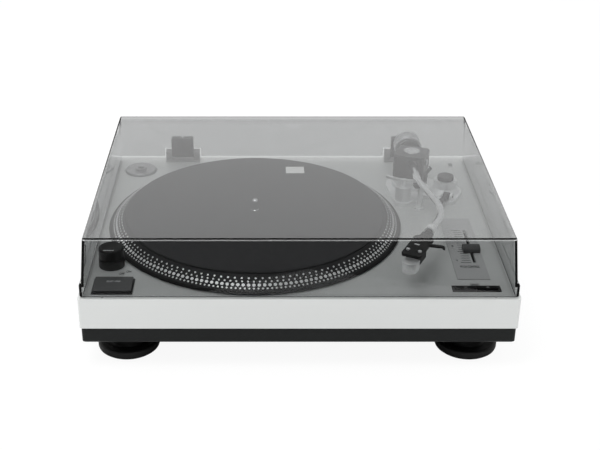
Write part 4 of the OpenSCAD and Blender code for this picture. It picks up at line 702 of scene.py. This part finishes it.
KNUCKLE = Vector((0, 173 * MM, DECK + 9.5 * MM))
bm = bmesh.new()
for x in (-140, 140):
    line = [(-13.85, 9.5), (13.85, 9.5), (13.85, 31.6), (12.4, 33), (2.2, 33), (0, 30.8), (-2.2, 33), (-12.4, 33),
            (-13.85, 31.6)]
    part = prism([Vector(((x + a) * MM, 163.6 * MM, DECK + b * MM)) for a, b in line], Vector((0, 8.85 * MM, 0)))
    rounded(part, 0.5, 2, 40)
    drum = lathe([(2.15, -13.85), (5.2, -13.85), (5.5, -13.5), (5.5, 13.5), (5.2, 13.85), (2.15, 13.85),
                  (2.15, -13.85)], KNUCKLE + Vector((x * MM, 0, 0)), 48, (1, 0, 0))
    for rib in (-3.4, 3.4):
        slab(part, (1.1, 0.9, 7.0), Vector(((x + rib) * MM, 163.4 * MM, DECK + 25.5 * MM)), 0.3)
    for source in (part, drum):
        mesh = bpy.data.meshes.new("hinge_part")
        source.to_mesh(mesh)
        source.free()
        bm.from_mesh(mesh)
        bpy.data.meshes.remove(mesh)
finish_piece("hinge_body", bm, "lid", [BLACK], ["hinge_blocks"])

# Rear sockets: a coloured ring round each

for name, x, material in (("phono_ring_left", -88, LABEL_WHITE), ("phono_ring_right", -70, SOCKET_RED)):
    low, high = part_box("phono_sockets")
    bm = lathe([(4.25, -6.4), (5.6, -6.4), (5.9, -6.1), (5.9, -4.9), (5.6, -4.6), (4.25, -4.6), (4.25, -6.4)],
               Vector((x * MM, high.y, (low.z + high.z) / 2)), 48, (0, 1, 0))
    finish_piece(name, bm, "chassis", [material])

# Dust cover: clear walls with dark edges that are painted shade, a pale rim at the rear with a painted glow where light
# leaves, and a painted highlight line along the front top edge

# Finishes of the cover: clear wall, painted shade, painted rim glow, painted darker border, band, painted highlight
COVER_FINISHES = [SMOKE, EDGE_SHADE_PAINTED, RIM_GLOW_PAINTED, SMOKE_BORDER_SHADE, SMOKE_BAND, FRONT_GLINT_PAINTED]
WALL, DARK, PALE, DEEP, BAND, SHINE = range(len(COVER_FINISHES))
# Kinds of edge, each with its width in millimetres and its finish: painted shade, a painted glow on the rear rim, or a
# painted highlight on the front top edge
COVER_EDGES = (("corner", 3.4, DARK), ("side", 2.1, DARK), ("edge", 1.3, DARK), ("foot", 1.3, DARK),
               ("crease", 2.2, DARK), ("rim", 0.5, PALE), ("glint", 0.7, SHINE))
# Places in millimetres that tell the edges apart: heights over the deck, then y, then x to either side
RIM_H, FOOT_H, BAND_H = 20, 5, 15
RIM_Y, FRONT_Y, FOOT_Y = 168, -150, -176
SIDE_X, INNER_X = 200, 221
# Places in millimetres: the corners at the band's top that are painted dark as shade, and the border of the top with
# its painted darker tint
CORNER_X, CORNER_Y, CORNER_LOW, CORNER_HIGH = 217.5, -170, 10, 16
BORDER_X, BORDER_REAR, BORDER_FRONT, BORDER_LOW, BORDER_HIGH = 214.3, 164.1, -157.6, 57, 60
BAND_FRONT, BAND_TOP = -173, 13


def cover_edges(bm, kind):
    """The edges of the cover that get one kind of finish, told by where they are."""
    found = []
    for e in bm.edges:
        if not e.is_manifold or not e.is_convex or e.calc_face_angle(0) < math.radians(35):
            continue
        mid = (e.verts[0].co + e.verts[1].co) / 2
        rise = abs((e.verts[1].co - e.verts[0].co).normalized().z)
        h, y = (mid.z - DECK) / MM, mid.y / MM
        if y > RIM_Y and h < RIM_H:
            here = "rim"
        elif rise > 0.6:
            here = "corner" if y < FRONT_Y else "edge"
        elif h < FOOT_H:
            here = "foot" if y < FOOT_Y else "crease" if SIDE_X * MM < abs(mid.x) < INNER_X * MM else "plain"
        elif h < BAND_H:
            here = "plain"
        elif y < FRONT_Y:
            here = "glint"
        else:
            here = "side" if abs(mid.x) > SIDE_X * MM else "edge"
        if here == kind:
            found.append(e)
    return found


def cut_level(bm, low, high, place, across):
    """Cuts the level faces between two heights over the deck by an upright plane, at a place along a direction."""
    level = [f for f in bm.faces if f.normal.z > 0.7 and low * MM < f.calc_center_median().z - DECK < high * MM]
    parts = level + [e for f in level for e in f.edges] + [v for f in level for v in f.verts]
    bmesh.ops.bisect_plane(bm, geom=list(dict.fromkeys(parts)), dist=1e-7, plane_no=across,
                           plane_co=Vector(across) * place * MM)


bm = packed("dust_cover")
for f in bm.faces:
    f.material_index = WALL
for kind, width, finish in COVER_EDGES:
    bmesh.ops.bevel(bm, geom=cover_edges(bm, kind), offset=width * MM, offset_type="OFFSET", segments=3, profile=0.5,
                    affect="EDGES", material=finish, clamp_overlap=False)
for place in (CORNER_X, -CORNER_X):
    cut_level(bm, CORNER_LOW, CORNER_HIGH, place, (1, 0, 0))
cut_level(bm, CORNER_LOW, CORNER_HIGH, CORNER_Y, (0, 1, 0))
for place in (BORDER_X, -BORDER_X):
    cut_level(bm, BORDER_LOW, BORDER_HIGH, place, (1, 0, 0))
for place in (BORDER_REAR, BORDER_FRONT):
    cut_level(bm, BORDER_LOW, BORDER_HIGH, place, (0, 1, 0))
# Painted shade: the dark corners run on past the top of the band, a dark strip is painted along the front of the top,
# and the border of the top gets a darker tint where the walls are seen end on
for f in bm.faces:
    at = f.calc_center_median() / MM
    h = at.z - DECK / MM
    on_top = f.normal.z > 0.9 and h > BORDER_LOW
    if abs(at.x) > CORNER_X and at.y < CORNER_Y and CORNER_LOW < h < CORNER_HIGH:
        f.material_index = DARK
    elif f.material_index != WALL:
        continue
    elif on_top and at.y < BORDER_FRONT:
        f.material_index = DARK
    elif on_top and (abs(at.x) > BORDER_X or at.y > BORDER_REAR):
        f.material_index = DEEP
    elif abs(f.normal.y) > 0.9 and at.y < BAND_FRONT and h < BAND_TOP:
        f.material_index = BAND
finish_piece("cover_shell", bm, "lid", COVER_FINISHES, ["dust_cover"])

# Camera, light and floor

# How much of the floor the camera sees as pure white, and how height and the sides count in the studio's light
FLOOR_WHITE_SHARE = 0.92
HEIGHT_SHARE, SIDE_SHARE = 1.6, -0.9

camera_data = bpy.data.cameras.new("camera")
camera = bpy.data.objects.new("camera", camera_data)
bpy.context.scene.collection.objects.link(camera)
camera.location = (-34.45 * MM, -1159.1 * MM, 665.3 * MM)
camera.rotation_euler = (math.radians(90 - 26.9), 0, 0)
camera_data.sensor_width = 36
camera_data.lens = 67.46
camera_data.shift_x = 0.0579
camera_data.shift_y = -0.0008
camera_data.clip_start, camera_data.clip_end = 0.01, 100
bpy.context.scene.camera = camera

bm = bmesh.new()
bmesh.ops.create_circle(bm, cap_ends=True, segments=64, radius=3.0)
mesh = bpy.data.meshes.new("floor")
bm.to_mesh(mesh)
bm.free()
floor = bpy.data.objects.new("floor", mesh)
bpy.context.scene.collection.objects.link(floor)
floor_white = new_material("floor_white")
t = floor_white.node_tree
out = add(t, "ShaderNodeOutputMaterial")
p = add(t, "ShaderNodeBsdfPrincipled", Roughness=0.9)
p.inputs["Base Color"].default_value = (0.93, 0.93, 0.93, 1)
p.inputs["Specular IOR Level"].default_value = 0.1
# The camera sees most of the floor as pure white, which leaves the object a pale shadow
pure = add(t, "ShaderNodeEmission", Strength=1.0)
pure.inputs["Color"].default_value = (1, 1, 1, 1)
light_path = add(t, "ShaderNodeLightPath")
share = add(t, "ShaderNodeMath", operation="MULTIPLY")
link(t, light_path.outputs["Is Camera Ray"], share.inputs[0])
share.inputs[1].default_value = FLOOR_WHITE_SHARE
mix = add(t, "ShaderNodeMixShader")
link(t, share.outputs[0], mix.inputs["Fac"])
link(t, p.outputs["BSDF"], mix.inputs[1])
link(t, pure.outputs["Emission"], mix.inputs[2])
link(t, mix.outputs["Shader"], out.inputs["Surface"])
mesh.materials.append(floor_white)


def lamp(name, place, target, size, watts):
    data = bpy.data.lights.new(name, "AREA")
    data.shape = "RECTANGLE"
    data.size, data.size_y = size
    data.energy = watts
    o = bpy.data.objects.new(name, data)
    o.location = place
    o.rotation_euler = (Vector(target) - Vector(place)).to_track_quat("-Z", "Y").to_euler()
    bpy.context.scene.collection.objects.link(o)


lamp("key_light", (-0.55, -0.55, 2.1), (0, 0, 0.08), (0.9, 0.9), 25)
lamp("front_fill", (0.7, -2.3, 1.0), (0, 0, 0.08), (2.0, 0.8), 3.5)

world = bpy.data.worlds.new("studio")
bpy.context.scene.world = world
world.use_nodes = True
t = world.node_tree
t.nodes.clear()
out = add(t, "ShaderNodeOutputWorld")
light_path = add(t, "ShaderNodeLightPath")
seen = add(t, "ShaderNodeMath", operation="MAXIMUM")
link(t, light_path.outputs["Is Camera Ray"], seen.inputs[0])
link(t, light_path.outputs["Is Transmission Ray"], seen.inputs[1])
# Behind and above, the studio is white; the room in front is dark
where = add(t, "ShaderNodeTexCoord")
split = add(t, "ShaderNodeSeparateXYZ")
link(t, where.outputs["Generated"], split.inputs[0])
lift = add(t, "ShaderNodeMath", operation="MULTIPLY_ADD")
link(t, split.outputs["Z"], lift.inputs[0])
lift.inputs[1].default_value = HEIGHT_SHARE
link(t, split.outputs["Y"], lift.inputs[2])
# A dark screen on either side
sides = add(t, "ShaderNodeMath", operation="ABSOLUTE")
link(t, split.outputs["X"], sides.inputs[0])
screened = add(t, "ShaderNodeMath", operation="MULTIPLY_ADD")
link(t, sides.outputs[0], screened.inputs[0])
screened.inputs[1].default_value = SIDE_SHARE
link(t, lift.outputs[0], screened.inputs[2])
ramp = add(t, "ShaderNodeMapRange")
ramp.inputs["From Min"].default_value = -0.9
ramp.inputs["From Max"].default_value = 0.2
ramp.inputs["To Min"].default_value = 0.05
ramp.inputs["To Max"].default_value = 1.15
link(t, screened.outputs[0], ramp.inputs["Value"])
lit = add(t, "ShaderNodeBackground")
lit.inputs["Color"].default_value = (1, 1, 1, 1)
link(t, ramp.outputs["Result"], lit.inputs["Strength"])
white = add(t, "ShaderNodeBackground", Strength=1.0)
white.inputs["Color"].default_value = (1, 1, 1, 1)
mix = add(t, "ShaderNodeMixShader")
link(t, seen.outputs[0], mix.inputs["Fac"])
link(t, lit.outputs["Background"], mix.inputs[1])
link(t, white.outputs["Background"], mix.inputs[2])
link(t, mix.outputs["Shader"], out.inputs["Surface"])

bpy.context.scene.view_settings.view_transform = "Standard"
